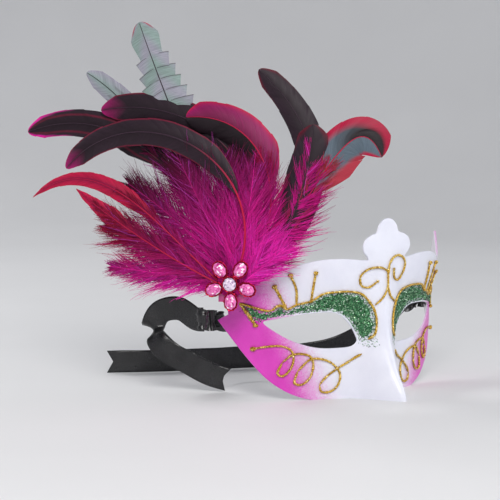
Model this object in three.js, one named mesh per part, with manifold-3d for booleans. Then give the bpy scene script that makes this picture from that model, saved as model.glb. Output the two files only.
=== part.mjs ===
// A venetian half mask with a feather plume, a flower brooch and two ribbon ties, in millimetres.
// The wearer looks along -Y, +X is the wearer's left, +Z is up and the lower rim stands on z = 0.
import * as THREE from "three";
import { mergeVertices } from "three/addons/utils/BufferGeometryUtils.js";
import Module from "manifold-3d";

const wasm = await Module();
wasm.setup();

// ---------------------------------------------------------------- driving dimensions
const GAP = 0.3; // air between neighbouring pieces
const SHELL_THICKNESS = 1.6;
const SHELL_TOP = 122; // top of the crown, with a little to spare for cutting
const SHELL_HALF_WIDTH = 98;
const GRID_STEP = 5.2; // size of the shell's facets
const BEAD_RADIUS = 0.75; // the gold glue lines
const GLITTER_THICKNESS = 0.45;
const BROOCH_RING = 11.4; // distance of the petal gems from the centre gem
const PETAL_LENGTH = 11.2;
const PETAL_WIDTH = 8.8;
const CUP_MARGIN = 1.2; // how much wider a cup is than its gem
const CENTRE_GEM_DIAMETER = 9.4;
const FEATHER_THICKNESS = 0.45;
const LAYER_STEP = 0.8; // distance between one feather and the next in the fan
const RIBBON_WIDTH = 16;
const RIBBON_THICKNESS = 0.5;
const KNOT_RADIUS = 4;
const TIE_Z = 53; // height of the ribbon ties
const EDGE_X = 94; // the side edge of the shell at that height
const CENTRE = new THREE.Vector3(40, -102.6, 0); // moves the whole object over its own origin

// Depth of the outer face, at half-width stations across and height stations up: the nose ridge
// runs down the middle, the eye sockets lie beside it and the sides sweep back to the temples.
const ACROSS = [0, 8, 18, 32, 48, 64, 80, 96];
const UP = [0, 20, 40, 60, 80, 100];
const DEPTH = [
  [0, 11.5, 28.5, 38, 44.5, 52.5, 65, 86],
  [9.5, 17, 30, 37, 43, 51, 63.5, 84.5],
  [17, 21.5, 30, 35, 40.5, 49, 62, 83],
  [19.5, 21.5, 27.5, 32.5, 38, 47.5, 61.5, 83],
  [19, 19.8, 22, 26, 32, 41.5, 55.5, 77],
  [18, 18.1, 18.6, 22, 28, 37.5, 51.5, 73],
];

// Half of the shell's outline, from the top of the crown round to the middle of the lower rim.
const OUTLINE = [
  [0, 120],
  [4, 119],
  [7.5, 115.5],
  [9.5, 111],
  [14, 109.5],
  [19, 106.5],
  [20.8, 102],
  [19.5, 98],
  [16.6, 95.2],
  [15.8, 93],
  [20, 93.2],
  [33, 94.6],
  [47.5, 94.4],
  [58, 92.2],
  [65, 89.6],
  [74, 87.6],
  [82, 89.6],
  [89, 96],
  [95, 102.5],
  [96, 96],
  [95, 86],
  [92.5, 73],
  [90.5, 63],
  [89.8, 57.5],
  [94, 53.5],
  [91, 47],
  [87, 38.5],
  [80, 26],
  [72, 15.2],
  [61, 6.4],
  [50, 1.4],
  [44, 0],
];

const EYE = [
  [75, 53],
  [68, 55.4],
  [58, 57.6],
  [47, 58.8],
  [35, 58.6],
  [28, 55.8],
  [21.5, 49],
  [18, 42.5],
  [17, 38.4],
  [19.6, 35],
  [30, 34],
  [43, 34.8],
  [56, 38.7],
  [66, 44.3],
];

// ---------------------------------------------------------------- small helpers
function hermite(stations, values, at) {
  const last = stations.length - 1;
  const clamped = Math.min(Math.max(at, stations[0]), stations[last]);
  let i = 0;
  while (i < last - 1 && clamped > stations[i + 1]) i++;
  const slope = (k) => {
    const a = Math.max(k - 1, 0);
    const b = Math.min(k + 1, last);
    return (values[b] - values[a]) / (stations[b] - stations[a]);
  };
  const width = stations[i + 1] - stations[i];
  const s = (clamped - stations[i]) / width;
  const start = i === 0 ? 0 : slope(i) * width;
  const end = slope(i + 1) * width;
  const s2 = s * s;
  const s3 = s2 * s;
  return (
    (2 * s3 - 3 * s2 + 1) * values[i] +
    (s3 - 2 * s2 + s) * start +
    (3 * s2 - 2 * s3) * values[i + 1] +
    (s3 - s2) * end
  );
}

// Depth of the outer face at one place.
function faceDepth(x, z) {
  const rows = DEPTH.map((row) => hermite(ACROSS, row, Math.abs(x)));
  return hermite(UP, rows, z);
}

// A point on the face, moved out of it by lift; the move is level, so the rims stay flat.
function onFace(x, z, lift) {
  const step = 0.5;
  const slope = (faceDepth(x + step, z) - faceDepth(x - step, z)) / (2 * step);
  const length = Math.hypot(slope, 1);
  return new THREE.Vector3(
    x + (lift * slope) / length,
    faceDepth(x, z) - lift / length,
    z,
  );
}

function toSolid(geometry) {
  const flat = geometry.index ? geometry.toNonIndexed() : geometry;
  const bare = new THREE.BufferGeometry().setAttribute(
    "position",
    flat.getAttribute("position"),
  );
  const merged = mergeVertices(bare, 1e-3);
  const index = merged.index.array;
  const kept = [];
  for (let i = 0; i < index.length; i += 3) {
    const [a, b, c] = [index[i], index[i + 1], index[i + 2]];
    if (a !== b && b !== c && a !== c) kept.push(a, b, c);
  }
  return new wasm.Manifold(
    new wasm.Mesh({
      numProp: 3,
      vertProperties: merged.attributes.position.array,
      triVerts: new Uint32Array(kept),
    }),
  );
}

function toGeometry(solid) {
  const mesh = solid.getMesh();
  return new THREE.BufferGeometry()
    .setAttribute(
      "position",
      new THREE.BufferAttribute(new Float32Array(mesh.vertProperties), 3),
    )
    .setIndex(new THREE.BufferAttribute(new Uint32Array(mesh.triVerts), 1));
}

// ---------------------------------------------------------------- finishes and groups
function finish(color, roughness, metalness = 0) {
  return new THREE.MeshStandardMaterial({ color, roughness, metalness, flatShading: true });
}

const FINISHES = {
  shell: finish(0xe8e4f4, 0.35),
  gold: finish(0xb8892c, 0.35, 0.8),
  glitter: finish(0x2f7d55, 0.4, 0.3),
  satin: finish(0x0c0c0e, 0.35),
  felt: finish(0x2a1020, 0.95),
  glue: finish(0xcfc4ae, 0.3),
  foil: finish(0xb0102c, 0.25, 0.9),
  pinkGem: finish(0xf27ab8, 0.08),
  clearGem: finish(0xe9def2, 0.06),
  dark: finish(0x2c1826, 0.55),
  crimson: finish(0x8e0d3a, 0.6),
  greyGreen: finish(0x9aa7a7, 0.6),
  down: finish(0xd4178c, 0.8),
};

const group = new THREE.Group();

function addPiece(parent, name, geometry, material) {
  const solid = toSolid(geometry);
  if (solid.volume() < 0) throw new Error(name + " is inside out");
  const mesh = new THREE.Mesh(toGeometry(solid), material);
  mesh.name = name;
  parent.add(mesh);
  return mesh;
}

// Moves every vertex of a geometry with move(x, y, z) -> Vector3.
function displaced(geometry, move) {
  const at = geometry.getAttribute("position");
  for (let i = 0; i < at.count; i++) {
    const p = move(at.getX(i), at.getY(i), at.getZ(i));
    at.setXYZ(i, p.x, p.y, p.z);
  }
  return geometry;
}

// A prism over a flat outline in x and z, long enough in depth to cut the whole mask.
function prism(points) {
  const shape = new THREE.Shape(points.map(([x, z]) => new THREE.Vector2(x, z)));
  const made = new THREE.ExtrudeGeometry(shape, {
    depth: 260,
    bevelEnabled: false,
  });
  made.rotateX(Math.PI / 2);
  made.translate(0, 180, 0);
  return toSolid(made);
}

// Rounds a closed outline by running a smooth curve through its points.
function smoothed(points, perSpan) {
  const curve = new THREE.CatmullRomCurve3(
    points.map(([x, z]) => new THREE.Vector3(x, 0, z)),
    true,
    "centripetal",
  );
  return curve
    .getPoints(points.length * perSpan)
    .slice(0, -1)
    .map((p) => [p.x, p.z]);
}

const mirrored = (points, side) => points.map(([x, z]) => [side * x, z]);

// A plate that follows the face between two lifts.
function facePlate(x0, x1, z0, z1, lift0, lift1, step) {
  const plate = new THREE.BoxGeometry(
    x1 - x0,
    lift1 - lift0,
    z1 - z0,
    Math.ceil((x1 - x0) / step),
    1,
    Math.ceil((z1 - z0) / step),
  );
  plate.translate((x0 + x1) / 2, (lift0 + lift1) / 2, (z0 + z1) / 2);
  return toSolid(displaced(plate, (x, lift, z) => onFace(x, z, -lift)));
}

// ---------------------------------------------------------------- the shell
function shell() {
  const rightHalf = OUTLINE.slice(1).reverse();
  const closed = [...OUTLINE, ...mirrored(rightHalf, -1)];
  const plate = facePlate(
    -SHELL_HALF_WIDTH,
    SHELL_HALF_WIDTH,
    -3,
    SHELL_TOP,
    0,
    SHELL_THICKNESS,
    GRID_STEP,
  );
  let made = plate.intersect(prism(closed));
  for (const side of [-1, 1]) {
    made = made.subtract(prism(smoothed(mirrored(EYE, side), 2)));
  }
  return toGeometry(made);
}

// ---------------------------------------------------------------- gold glue lines and glitter
// A round bead that lies on the face along a curve in x and z.
function bead(points, radius = BEAD_RADIUS, closed = false) {
  const curve = new THREE.CatmullRomCurve3(
    points.map(([x, z]) => new THREE.Vector3(x, 0, z)),
    closed,
    "centripetal",
  );
  const length = curve.getLength();
  const steps = Math.max(2, Math.round(length / 3.4));
  const rod = new THREE.CylinderGeometry(radius, radius, 1, 5, steps);
  return toSolid(
    displaced(rod, (x, y, z) => {
      const s = Math.min(Math.max(y + 0.5, 0), 1);
      const p = curve.getPointAt(s);
      const along = curve.getTangentAt(s);
      const lift = GAP + 0.15 + radius + z;
      return onFace(p.x + x * along.z, p.z - x * along.x, lift);
    }),
  );
}

function blob(x, z, radius) {
  const ball = new THREE.SphereGeometry(radius, 8, 5);
  const at = onFace(x, z, GAP + 0.15 + radius);
  ball.translate(at.x, at.y, at.z);
  return toSolid(ball);
}

const joined = (solids) => solids.reduce((a, b) => a.add(b));

// The scroll on the forehead: a stem, two curls above it and two short branches below.
function foreheadScroll() {
  const stem = [
    [0, 86],
    [0.5, 80],
    [0.4, 74],
    [-2.8, 68],
    [-8.4, 62.7],
  ];
  const rightCurl = [
    [0, 84.6],
    [-3.5, 87],
    [-9.5, 88],
    [-17, 86.6],
    [-21, 82.4],
    [-19.2, 76.4],
    [-14, 74.8],
    [-8, 78.6],
  ];
  const leftCurl = [
    [0.6, 82],
    [1.6, 90],
    [6, 94.6],
    [11.6, 94.6],
    [16.4, 90],
    [15.6, 84],
    [10.6, 78.4],
    [6.6, 80],
    [5.6, 86],
  ];
  const branch = [
    [0.4, 75],
    [3.6, 68],
    [9.4, 63.6],
  ];
  return toGeometry(joined([stem, rightCurl, leftCurl, branch].map((p) => bead(p))));
}

const EYE_LINE = [
  [86, 65.6],
  [78, 62.2],
  [71.6, 60.8],
  [67.4, 64.6],
  [63.2, 61.8],
  [58.6, 64.6],
  [50, 67.2],
  [44, 71.6],
  [36, 72.6],
  [25.4, 72.4],
  [17.6, 70.4],
  [12.4, 65.6],
  [8.9, 60],
  [7, 51.8],
  [8, 43.4],
  [11.6, 39.6],
];
const LASHES = [
  [
    [63.2, 61.8],
    [67.4, 69],
    [72, 77],
  ],
  [
    [58.4, 64.4],
    [60.4, 75],
    [64.8, 84.6],
  ],
  [
    [50.4, 67],
    [51, 76],
    [51, 86],
  ],
];

// The gold line over one eye, with its three lashes and the short line at the outer corner.
function eyeOutline(side) {
  const corner = [
    [86, 65.6],
    [82, 58.4],
    [78.4, 51],
  ];
  const lines = [EYE_LINE, corner, ...LASHES].map((p) => bead(mirrored(p, side)));
  const ends = LASHES.map((p) => blob(side * p[2][0], p[2][1], 1.4));
  return toGeometry(joined([...lines, ...ends, blob(side * 78.4, 51, 1.3)]));
}

// The curl on one cheek: three loops that grow towards the nose.
function cheekCurl(side) {
  const first = [
    [79.4, 35.4],
    [72, 37],
    [64.6, 37],
    [59.4, 34],
    [57.6, 28],
    [59.4, 21],
    [63.6, 16.8],
    [66.2, 18.6],
    [64, 26],
  ];
  const second = [
    [64, 26],
    [59, 30.8],
    [53, 31.6],
    [47, 29.2],
    [45, 23],
    [47, 14.6],
    [52, 10.6],
    [56, 12],
    [54.6, 20],
  ];
  const third = [
    [54.6, 20],
    [47.4, 27.4],
    [40.8, 27.6],
    [32.4, 24],
    [27, 16.6],
    [28.4, 9],
    [33, 5],
    [38.6, 5.4],
    [40, 10],
  ];
  const tail = [
    [40, 10],
    [36.6, 14.4],
    [28.8, 20.6],
    [22.4, 24.4],
    [14.6, 30],
  ];
  const lines = [first, second, third, tail].map((p) => bead(mirrored(p, side)));
  return toGeometry(joined([...lines, blob(side * 79.4, 35.4, 1.5)]));
}

// The glitter shadow between the gold line and the eye hole.
function glitter(side) {
  const outline = [
    [83, 62.6],
    [77.6, 60],
    [71.4, 58.4],
    [67.4, 62],
    [63.2, 59.2],
    [57.8, 62.2],
    [49.4, 64.8],
    [43.4, 69.2],
    [36, 70.4],
    [26, 70.2],
    [18.6, 68.4],
    [14, 64.2],
    [10.9, 59],
    [9.2, 51.6],
    [10, 44.6],
    [13, 40.6],
    [15.4, 42.4],
    [16.4, 44.6],
    [20, 51],
    [27, 57.8],
    [34.6, 60.8],
    [47, 61],
    [58, 59.6],
    [68, 57.4],
    [76, 54.8],
    [79, 55.6],
  ];
  const lift = GAP + GLITTER_THICKNESS;
  const [x0, x1] = side < 0 ? [-86, -6] : [6, 86];
  const plate = facePlate(x0, x1, 36, 76, -lift, -GAP, 6.5);
  return toGeometry(plate.intersect(prism(mirrored(outline, side))));
}

// ---------------------------------------------------------------- the plume
// The plume is a group of its own: x runs to the wearer's left across the fan, y runs up and z out
// of it, from a root on the face near the right temple. Feathers lean back from the root by z.
const PLUME_TURN = (50 * Math.PI) / 180;
const PLUME_SWEEP = 22; // how far the fan leans back at 180 mm from its root
const plume = new THREE.Group();
plume.position.copy(onFace(-88.6, 81, 0));
plume.rotation.set(Math.PI / 2, 0, -PLUME_TURN, "ZYX");
group.add(plume);

// A place in the plume from left, up and out, where left is to the left as the fan is looked at.
function inPlume(left, up, out) {
  const reach = Math.hypot(left, up) / 180;
  return new THREE.Vector3(-left, up, out - PLUME_SWEEP * reach * reach);
}

const PAD_OUT = 3; // back of the felt pad
const PAD_THICKNESS = 1.2;
const FIRST_LAYER = PAD_OUT + PAD_THICKNESS + 0.5;

// A swelling that starts at one share of the length and closes at another.
function swell(s, start, end, power) {
  const at = Math.min(Math.max((s - start) / (end - start), 0), 1);
  return Math.pow(Math.sin(Math.PI * at), power);
}

// Half-width of a feather along its length, as a share of its widest half-width.
const SHAPES = {
  coque: (s, ragged) => Math.max(0.08, swell(s, 0.2, 1.06, 0.6) * (1 - 0.06 * ragged)),
  barred: (s, ragged) => {
    const taper = 1.25 - 0.75 * s;
    return Math.max(0.08, swell(s, 0.3, 1.04, 0.45) * taper * (1 - 0.16 * ragged));
  },
  hackle: (s, ragged) => Math.max(0.1, swell(s, 0.08, 1.03, 1) * (1 - 0.1 * ragged)),
  fluff: (s, ragged) => Math.max(0.12, swell(s, -0.06, 1.02, 0.7) * (1 - 0.35 * ragged)),
};

// Every feather: its name, shape and finish, its widest width, and the four points of its curve in
// the fan as [left, up]. The list runs from the back of the fan to the front.
const FEATHERS = [
  ["feather_dark_tall_left", "coque", "dark", 20, [2, -3], [26, 68], [80, 120], [148, 95]],
  ["feather_lilac", "coque", "greyGreen", 17, [1, -3], [36, 68], [68, 115], [106, 135]],
  ["feather_barred", "barred", "greyGreen", 36, [0, -3], [19, 58], [47, 113], [70, 168]],
  ["feather_dark_tall_arch", "coque", "dark", 22, [1, -3], [-40, 62], [20, 125], [94, 110]],
  ["feather_dark_tall_right", "coque", "dark", 19, [-2, -3], [-55, 39], [-70, 89], [-13, 137]],
  ["feather_curled", "coque", "crimson", 30, [-3, -3], [-44, 30], [-74, 130], [-94, 81]],
  ["feather_dark_right", "coque", "dark", 26, [-3, -3], [-30, 14], [-49, 60], [-50, 102]],
  ["feather_crimson_arch", "coque", "crimson", 26, [-1, -3], [-44, 46], [-22, 112], [34, 106]],
  ["fluff_low", "fluff", "down", 24, [3, -4], [28, 2], [56, 5], [86, 8]],
  ["fluff_left", "fluff", "down", 32, [3, -3], [28, 12], [56, 22], [90, 36]],
  ["fluff_upper_left", "fluff", "down", 34, [2, -3], [18, 25], [44, 45], [74, 64]],
  ["fluff_middle", "fluff", "down", 36, [1, -3], [10, 29], [24, 55], [40, 84]],
  ["fluff_upper", "fluff", "down", 34, [0, -3], [4, 29], [5, 56], [6, 84]],
  ["fluff_upper_right", "fluff", "down", 34, [-1, -3], [-8, 27], [-12, 54], [-14, 84]],
  ["fluff_right", "fluff", "down", 28, [-2, -3], [-14, 18], [-24, 34], [-32, 54]],
  ["fluff_short_right", "fluff", "down", 24, [-3, -3], [-14, 6], [-26, 16], [-40, 28]],
  ["hackle_long", "hackle", "crimson", 12, [3, -3], [40, 23], [88, 95], [139, 52]],
  ["hackle_crimson", "hackle", "crimson", 16, [2, -3], [35, 10], [90, 45], [107, 59]],
  ["feather_front_arch", "coque", "dark", 18, [0, -3], [-40, 78], [66, 130], [114, 72]],
];

function feather(shape, width, points, layer) {
  const curve = new THREE.CubicBezierCurve3(
    ...points.map(([left, up]) => new THREE.Vector3(left, up, 0)),
  );
  const steps = Math.round(Math.min(Math.max(curve.getLength() / 6, 12), 26));
  const slab = new THREE.BoxGeometry(2, 1, 1, 2, steps, 1);
  const out = FIRST_LAYER + layer * LAYER_STEP;
  return displaced(slab, (x, y, z) => {
    const s = y + 0.5;
    const p = curve.getPointAt(s);
    const along = curve.getTangentAt(s);
    const station = Math.round(s * steps) + (x > 0 ? 1 : 0);
    const share = SHAPES[shape](s, station % 2);
    const half = Math.max(0.9, (share * width) / 2);
    const left = p.x - x * half * along.y;
    const up = p.y + x * half * along.x;
    return inPlume(left, up, out + z * FEATHER_THICKNESS);
  });
}

const STACK_OUT = FIRST_LAYER + FEATHERS.length * LAYER_STEP;

function addFeathers() {
  FEATHERS.forEach(([name, shape, look, width, ...points], layer) => {
    addPiece(plume, name, feather(shape, width, points, layer), FINISHES[look]);
  });
}

// A felt pad on the face under the roots of the feathers.
function addPad() {
  const disc = new THREE.CylinderGeometry(13, 13, PAD_THICKNESS, 24);
  disc.rotateX(Math.PI / 2);
  const pad = addPiece(plume, "feather_pad", disc, FINISHES.felt);
  pad.position.set(0, 2, PAD_OUT + PAD_THICKNESS / 2);
}

// A collar of set glue round the quills, open below and above.
function addCollar() {
  const depth = STACK_OUT - FIRST_LAYER - 0.2;
  const outer = new THREE.BoxGeometry(17, 5, depth);
  const inner = new THREE.BoxGeometry(13.6, 9, depth - 2.2);
  const ring = toSolid(outer).subtract(toSolid(inner));
  const collar = addPiece(plume, "feather_collar", toGeometry(ring), FINISHES.glue);
  collar.position.set(0, -9.5, (STACK_OUT + FIRST_LAYER) / 2 - 0.4);
}

// ---------------------------------------------------------------- the brooch
// Half a turned section, closed on its axis, then stretched to an oval along y.
function turned(profile, sides, length, width) {
  const lathe = new THREE.LatheGeometry(
    profile.map(([r, h]) => new THREE.Vector2(r, h)),
    sides,
  );
  lathe.rotateX(Math.PI / 2);
  lathe.scale(width, length, 1);
  return lathe;
}

// A pear outline: the end nearest the centre of the flower is drawn in.
function pear(geometry, length) {
  return displaced(geometry, (x, y, z) => {
    const share = 0.95 + 0.1 * Math.min(y / length, 0.5);
    return new THREE.Vector3(x * share, y, z);
  });
}

const CUP_PROFILE = [
  [0, 0],
  [0.4, 0],
  [0.5, 1.3],
  [0.44, 1.3],
  [0.36, 0.6],
  [0, 0.6],
];
const GEM_PROFILE = [
  [0, 0],
  [0.4, 1.2],
  [0.42, 1.7],
  [0.3, 2.9],
  [0.18, 3.3],
  [0, 3.3],
];
const GEM_LIFT = 0.6 + GAP; // the floor of a cup, and the air over it
const PLATE_THICKNESS = 0.7;
const CENTRE_LIFT = 1.7; // the centre cup sits on the inner ends of the petal cups

function addSetting(parent, name, length, width, sides, shaped, gemLook, y, z) {
  const cup = turned(CUP_PROFILE, sides + 6, length + CUP_MARGIN, width + CUP_MARGIN);
  const gem = turned(GEM_PROFILE, sides, length, width);
  const [cupName, gemName] = name;
  const placedCup = addPiece(parent, cupName, shaped ? pear(cup, length) : cup, FINISHES.foil);
  const placedGem = addPiece(parent, gemName, shaped ? pear(gem, length) : gem, gemLook);
  placedCup.position.set(0, y, z);
  placedGem.position.set(0, y, z + GEM_LIFT);
}

function addBrooch() {
  const brooch = new THREE.Group();
  brooch.position.z = STACK_OUT + 0.4;
  plume.add(brooch);
  const plate = new THREE.CylinderGeometry(9, 9, PLATE_THICKNESS, 26);
  plate.rotateX(Math.PI / 2);
  const placedPlate = addPiece(brooch, "brooch_plate", plate, FINISHES.foil);
  placedPlate.position.z = PLATE_THICKNESS / 2;
  const seat = PLATE_THICKNESS + GAP;
  for (let i = 0; i < 5; i++) {
    const petal = new THREE.Group();
    petal.rotation.z = ((37 - 72 * i) * Math.PI) / 180;
    brooch.add(petal);
    const names = ["petal_cup_" + (i + 1), "petal_gem_" + (i + 1)];
    const look = FINISHES.pinkGem;
    addSetting(petal, names, PETAL_LENGTH, PETAL_WIDTH, 10, true, look, BROOCH_RING, seat);
  }
  const wide = CENTRE_GEM_DIAMETER;
  const names = ["centre_cup", "centre_gem"];
  addSetting(brooch, names, wide, wide, 12, false, FINISHES.clearGem, 0, seat + CENTRE_LIFT);
}

// ---------------------------------------------------------------- the ribbon ties
// The vertical axis that one tie swings on, just behind the side edge of the shell.
function knotCentre(side) {
  const edge = onFace(side * EDGE_X, TIE_Z, -SHELL_THICKNESS / 2);
  const before = onFace(side * (EDGE_X - 2), TIE_Z, -SHELL_THICKNESS / 2);
  const along = edge.clone().sub(before).normalize();
  return edge.addScaledVector(along, KNOT_RADIUS + 1.2);
}

// The knot, and its short strap glued to the inside of the shell.
function knot(side) {
  const roll = new THREE.CylinderGeometry(KNOT_RADIUS, KNOT_RADIUS, 15, 20);
  roll.rotateX(Math.PI / 2);
  const centre = knotCentre(side);
  roll.translate(centre.x, centre.y, centre.z);
  const inner = SHELL_THICKNESS + GAP;
  const [x0, x1] = side < 0 ? [-96, -84] : [84, 96];
  const strap = facePlate(x0, x1, TIE_Z - 3, TIE_Z + 3, inner, inner + 0.8, 2.5);
  return toGeometry(toSolid(roll).add(strap));
}

// A flat band through points [x, y, z, lean]; lean tips the band's width away from upright.
function band(points) {
  const curve = new THREE.CatmullRomCurve3(
    points.map(([x, y, z]) => new THREE.Vector3(x, y, z)),
    false,
    "centripetal",
  );
  const stations = points.map((_, i) => i / (points.length - 1));
  const leans = points.map((p) => p[3]);
  const steps = Math.round(curve.getLength() / 5);
  const strip = new THREE.BoxGeometry(1, 1, 1, 1, steps, 2);
  return displaced(strip, (x, y, z) => {
    const t = y + 0.5;
    const notch = t === 1 ? (Math.abs(z) - 0.5) * 0.03 : 0;
    const s = Math.min(Math.max(t + notch, 0), 1);
    const p = curve.getPoint(s);
    const along = curve.getTangent(s);
    const lean = hermite(stations, leans, s);
    const level = new THREE.Vector3(-along.y, along.x, 0).normalize();
    const upright = new THREE.Vector3(0, 0, Math.cos(lean));
    upright.addScaledVector(level, Math.sin(lean));
    const width = upright.addScaledVector(along, -upright.dot(along)).normalize();
    const across = along.clone().cross(width).normalize();
    return p
      .addScaledVector(width, z * RIBBON_WIDTH)
      .addScaledVector(across, x * RIBBON_THICKNESS);
  });
}

const FLOOR = RIBBON_WIDTH / 2 + 0.6 - TIE_Z; // a band on its edge on the floor, from the knot

// From its knot the right tie rises to the rear, folds over and comes down to the floor.
const RIGHT_ROUTE = [
  [-1.2, 6.2, 0, 0],
  [-3, 13, 0, 0],
  [-8, 24, 6, 0.1],
  [-16, 35, 3, 0.2],
  [-18.5, 40, -9, 0.1],
  [-11, 38, -22, -0.1],
  [4, 30, -33, -0.2],
  [17, 22, -41, 0],
  [26, 15, FLOOR, 0],
];

// The left tie drops behind the mask to the floor and trails away across it on its edge.
const LEFT_ROUTE = [
  [-1, 5.6, 0, 0],
  [-4, 14, 0, 0],
  [-14, 34, -22, 0],
  [-34, 52, FLOOR + 6, 0],
  [-62, 68, FLOOR, 0],
  [-96, 82, FLOOR, 0],
  [-132, 96, FLOOR, 0],
  [-164, 112, FLOOR, 0],
  [-190, 128, FLOOR, 0],
];

function addTie(name, side, route) {
  const tie = new THREE.Group();
  tie.position.copy(knotCentre(side));
  group.add(tie);
  addPiece(tie, name, band(route), FINISHES.satin);
}

// ---------------------------------------------------------------- the whole object
addPiece(group, "mask_shell", shell(), FINISHES.shell);
addPiece(group, "gold_forehead_scroll", foreheadScroll(), FINISHES.gold);
for (const [side, hand] of [
  [-1, "right"],
  [1, "left"],
]) {
  addPiece(group, "gold_eye_outline_" + hand, eyeOutline(side), FINISHES.gold);
  addPiece(group, "gold_cheek_curl_" + hand, cheekCurl(side), FINISHES.gold);
  addPiece(group, "green_glitter_" + hand, glitter(side), FINISHES.glitter);
  addPiece(group, "ribbon_knot_" + hand, knot(side), FINISHES.satin);
}
addTie("ribbon_tail_right", -1, RIGHT_ROUTE);
addTie("ribbon_tail_left", 1, LEFT_ROUTE);
addPad();
addFeathers();
addCollar();
addBrooch();
group.position.copy(CENTRE);

export default group;
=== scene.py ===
"""A venetian half mask with a feather plume, a flower brooch and two ribbon ties, for Blender.

Lengths are in millimetres until they reach a mesh, which is in metres. Shapes on the shell are
given by x and z on its face, and shapes in the plume by left, up and out from the plume's root.
"""

import math

import bmesh
import bpy
import numpy as np
from mathutils import Matrix, Vector, geometry


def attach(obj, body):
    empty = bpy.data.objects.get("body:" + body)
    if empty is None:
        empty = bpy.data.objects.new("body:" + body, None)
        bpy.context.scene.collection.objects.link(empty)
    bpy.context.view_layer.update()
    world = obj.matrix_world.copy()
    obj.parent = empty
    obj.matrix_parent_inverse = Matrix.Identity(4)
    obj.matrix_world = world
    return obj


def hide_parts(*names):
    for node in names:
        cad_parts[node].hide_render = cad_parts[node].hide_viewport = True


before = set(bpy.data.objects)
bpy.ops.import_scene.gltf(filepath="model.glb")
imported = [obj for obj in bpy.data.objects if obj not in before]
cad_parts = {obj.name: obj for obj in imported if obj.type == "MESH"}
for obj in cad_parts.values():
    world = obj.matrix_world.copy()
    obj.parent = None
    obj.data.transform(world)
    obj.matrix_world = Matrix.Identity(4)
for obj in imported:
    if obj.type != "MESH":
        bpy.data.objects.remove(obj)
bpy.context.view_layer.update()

# ------------------------------------------------------------------ driving dimensions
CENTRE = np.array([40.0, -102.6, 0.0])  # from the nose's own origin to the row frame
GAP = 0.3  # between a glued piece and what it is glued to
SHELL_THICKNESS = 1.6
FINE_STEP = 1.6  # spacing of the shell's and the glitter's vertices
BEAD_RADIUS = 0.75
BEAD_SIDES = 7
RIBBON_WIDTH = 16.0
TIE_Z = 53.0
EDGE_X = 94.0
KNOT_RADIUS = 4.0
PLUME_REACH = 180.0
PLUME_SWEEP = 22.0  # how far back the plume leans at its reach
FIRST_LAYER = 4.7  # how far out from the plume's root the first feather lies
LAYER_STEP = 0.8

ACROSS = [0, 8, 18, 32, 48, 64, 80, 96]
UP = [0, 20, 40, 60, 80, 100]
DEPTH = [
    [0, 11.5, 28.5, 38, 44.5, 52.5, 65, 86],
    [9.5, 17, 30, 37, 43, 51, 63.5, 84.5],
    [17, 21.5, 30, 35, 40.5, 49, 62, 83],
    [19.5, 21.5, 27.5, 32.5, 38, 47.5, 61.5, 83],
    [19, 19.8, 22, 26, 32, 41.5, 55.5, 77],
    [18, 18.1, 18.6, 22, 28, 37.5, 51.5, 73],
]
OUTLINE = [
    (0, 120), (4, 119), (7.5, 115.5), (9.5, 111), (14, 109.5), (19, 106.5), (20.8, 102),
    (19.5, 98), (16.6, 95.2), (15.8, 93), (20, 93.2), (33, 94.6), (47.5, 94.4), (58, 92.2),
    (65, 89.6), (74, 87.6), (82, 89.6), (89, 96), (95, 102.5), (96, 96), (95, 86),
    (92.5, 73), (90.5, 63), (89.8, 57.5), (94, 53.5), (91, 47), (87, 38.5), (80, 26),
    (72, 15.2), (61, 6.4), (50, 1.4), (44, 0),
]
SHARP_CORNERS = [(15.8, 93), (95, 102.5), (89.8, 57.5), (94, 53.5), (44, 0)]
EYE = [
    (75, 53), (68, 55.4), (58, 57.6), (47, 58.8), (35, 58.6), (28, 55.8), (21.5, 49),
    (18, 42.5), (17, 38.4), (19.6, 35), (30, 34), (43, 34.8), (56, 38.7), (66, 44.3),
]
EYE_LINE = [
    (86, 65.6), (78, 62.2), (71.6, 60.8), (67.4, 64.6), (63.2, 61.8), (58.6, 64.6),
    (50, 67.2), (44, 71.6), (36, 72.6), (25.4, 72.4), (17.6, 70.4), (12.4, 65.6),
    (8.9, 60), (7, 51.8), (8, 43.4), (11.6, 39.6),
]
EYE_CORNER = [(86, 65.6), (82, 58.4), (78.4, 51)]
LASHES = [
    [(63.2, 61.8), (67.4, 69), (72, 77)],
    [(58.4, 64.4), (60.4, 75), (64.8, 84.6)],
    [(50.4, 67), (51, 76), (51, 86)],
]
GLITTER = [
    (83, 62.6), (77.6, 60), (71.4, 58.4), (67.4, 62), (63.2, 59.2), (57.8, 62.2),
    (49.4, 64.8), (43.4, 69.2), (36, 70.4), (26, 70.2), (18.6, 68.4), (14, 64.2),
    (10.9, 59), (9.2, 51.6), (10, 44.6), (13, 40.6), (15.4, 42.4), (16.4, 44.6),
    (20, 51), (27, 57.8), (34.6, 60.8), (47, 61), (58, 59.6), (68, 57.4), (76, 54.8),
    (79, 55.6),
]
SCROLL = [
    [(0, 86), (0.5, 80), (0.4, 74), (-2.8, 68), (-8.4, 62.7)],
    [(0, 84.6), (-3.5, 87), (-9.5, 88), (-17, 86.6), (-21, 82.4), (-19.2, 76.4),
     (-14, 74.8), (-8, 78.6)],
    [(0.6, 82), (1.6, 90), (6, 94.6), (11.6, 94.6), (16.4, 90), (15.6, 84),
     (10.6, 78.4), (6.6, 80), (5.6, 86)],
    [(0.4, 75), (3.6, 68), (9.4, 63.6)],
]
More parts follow.
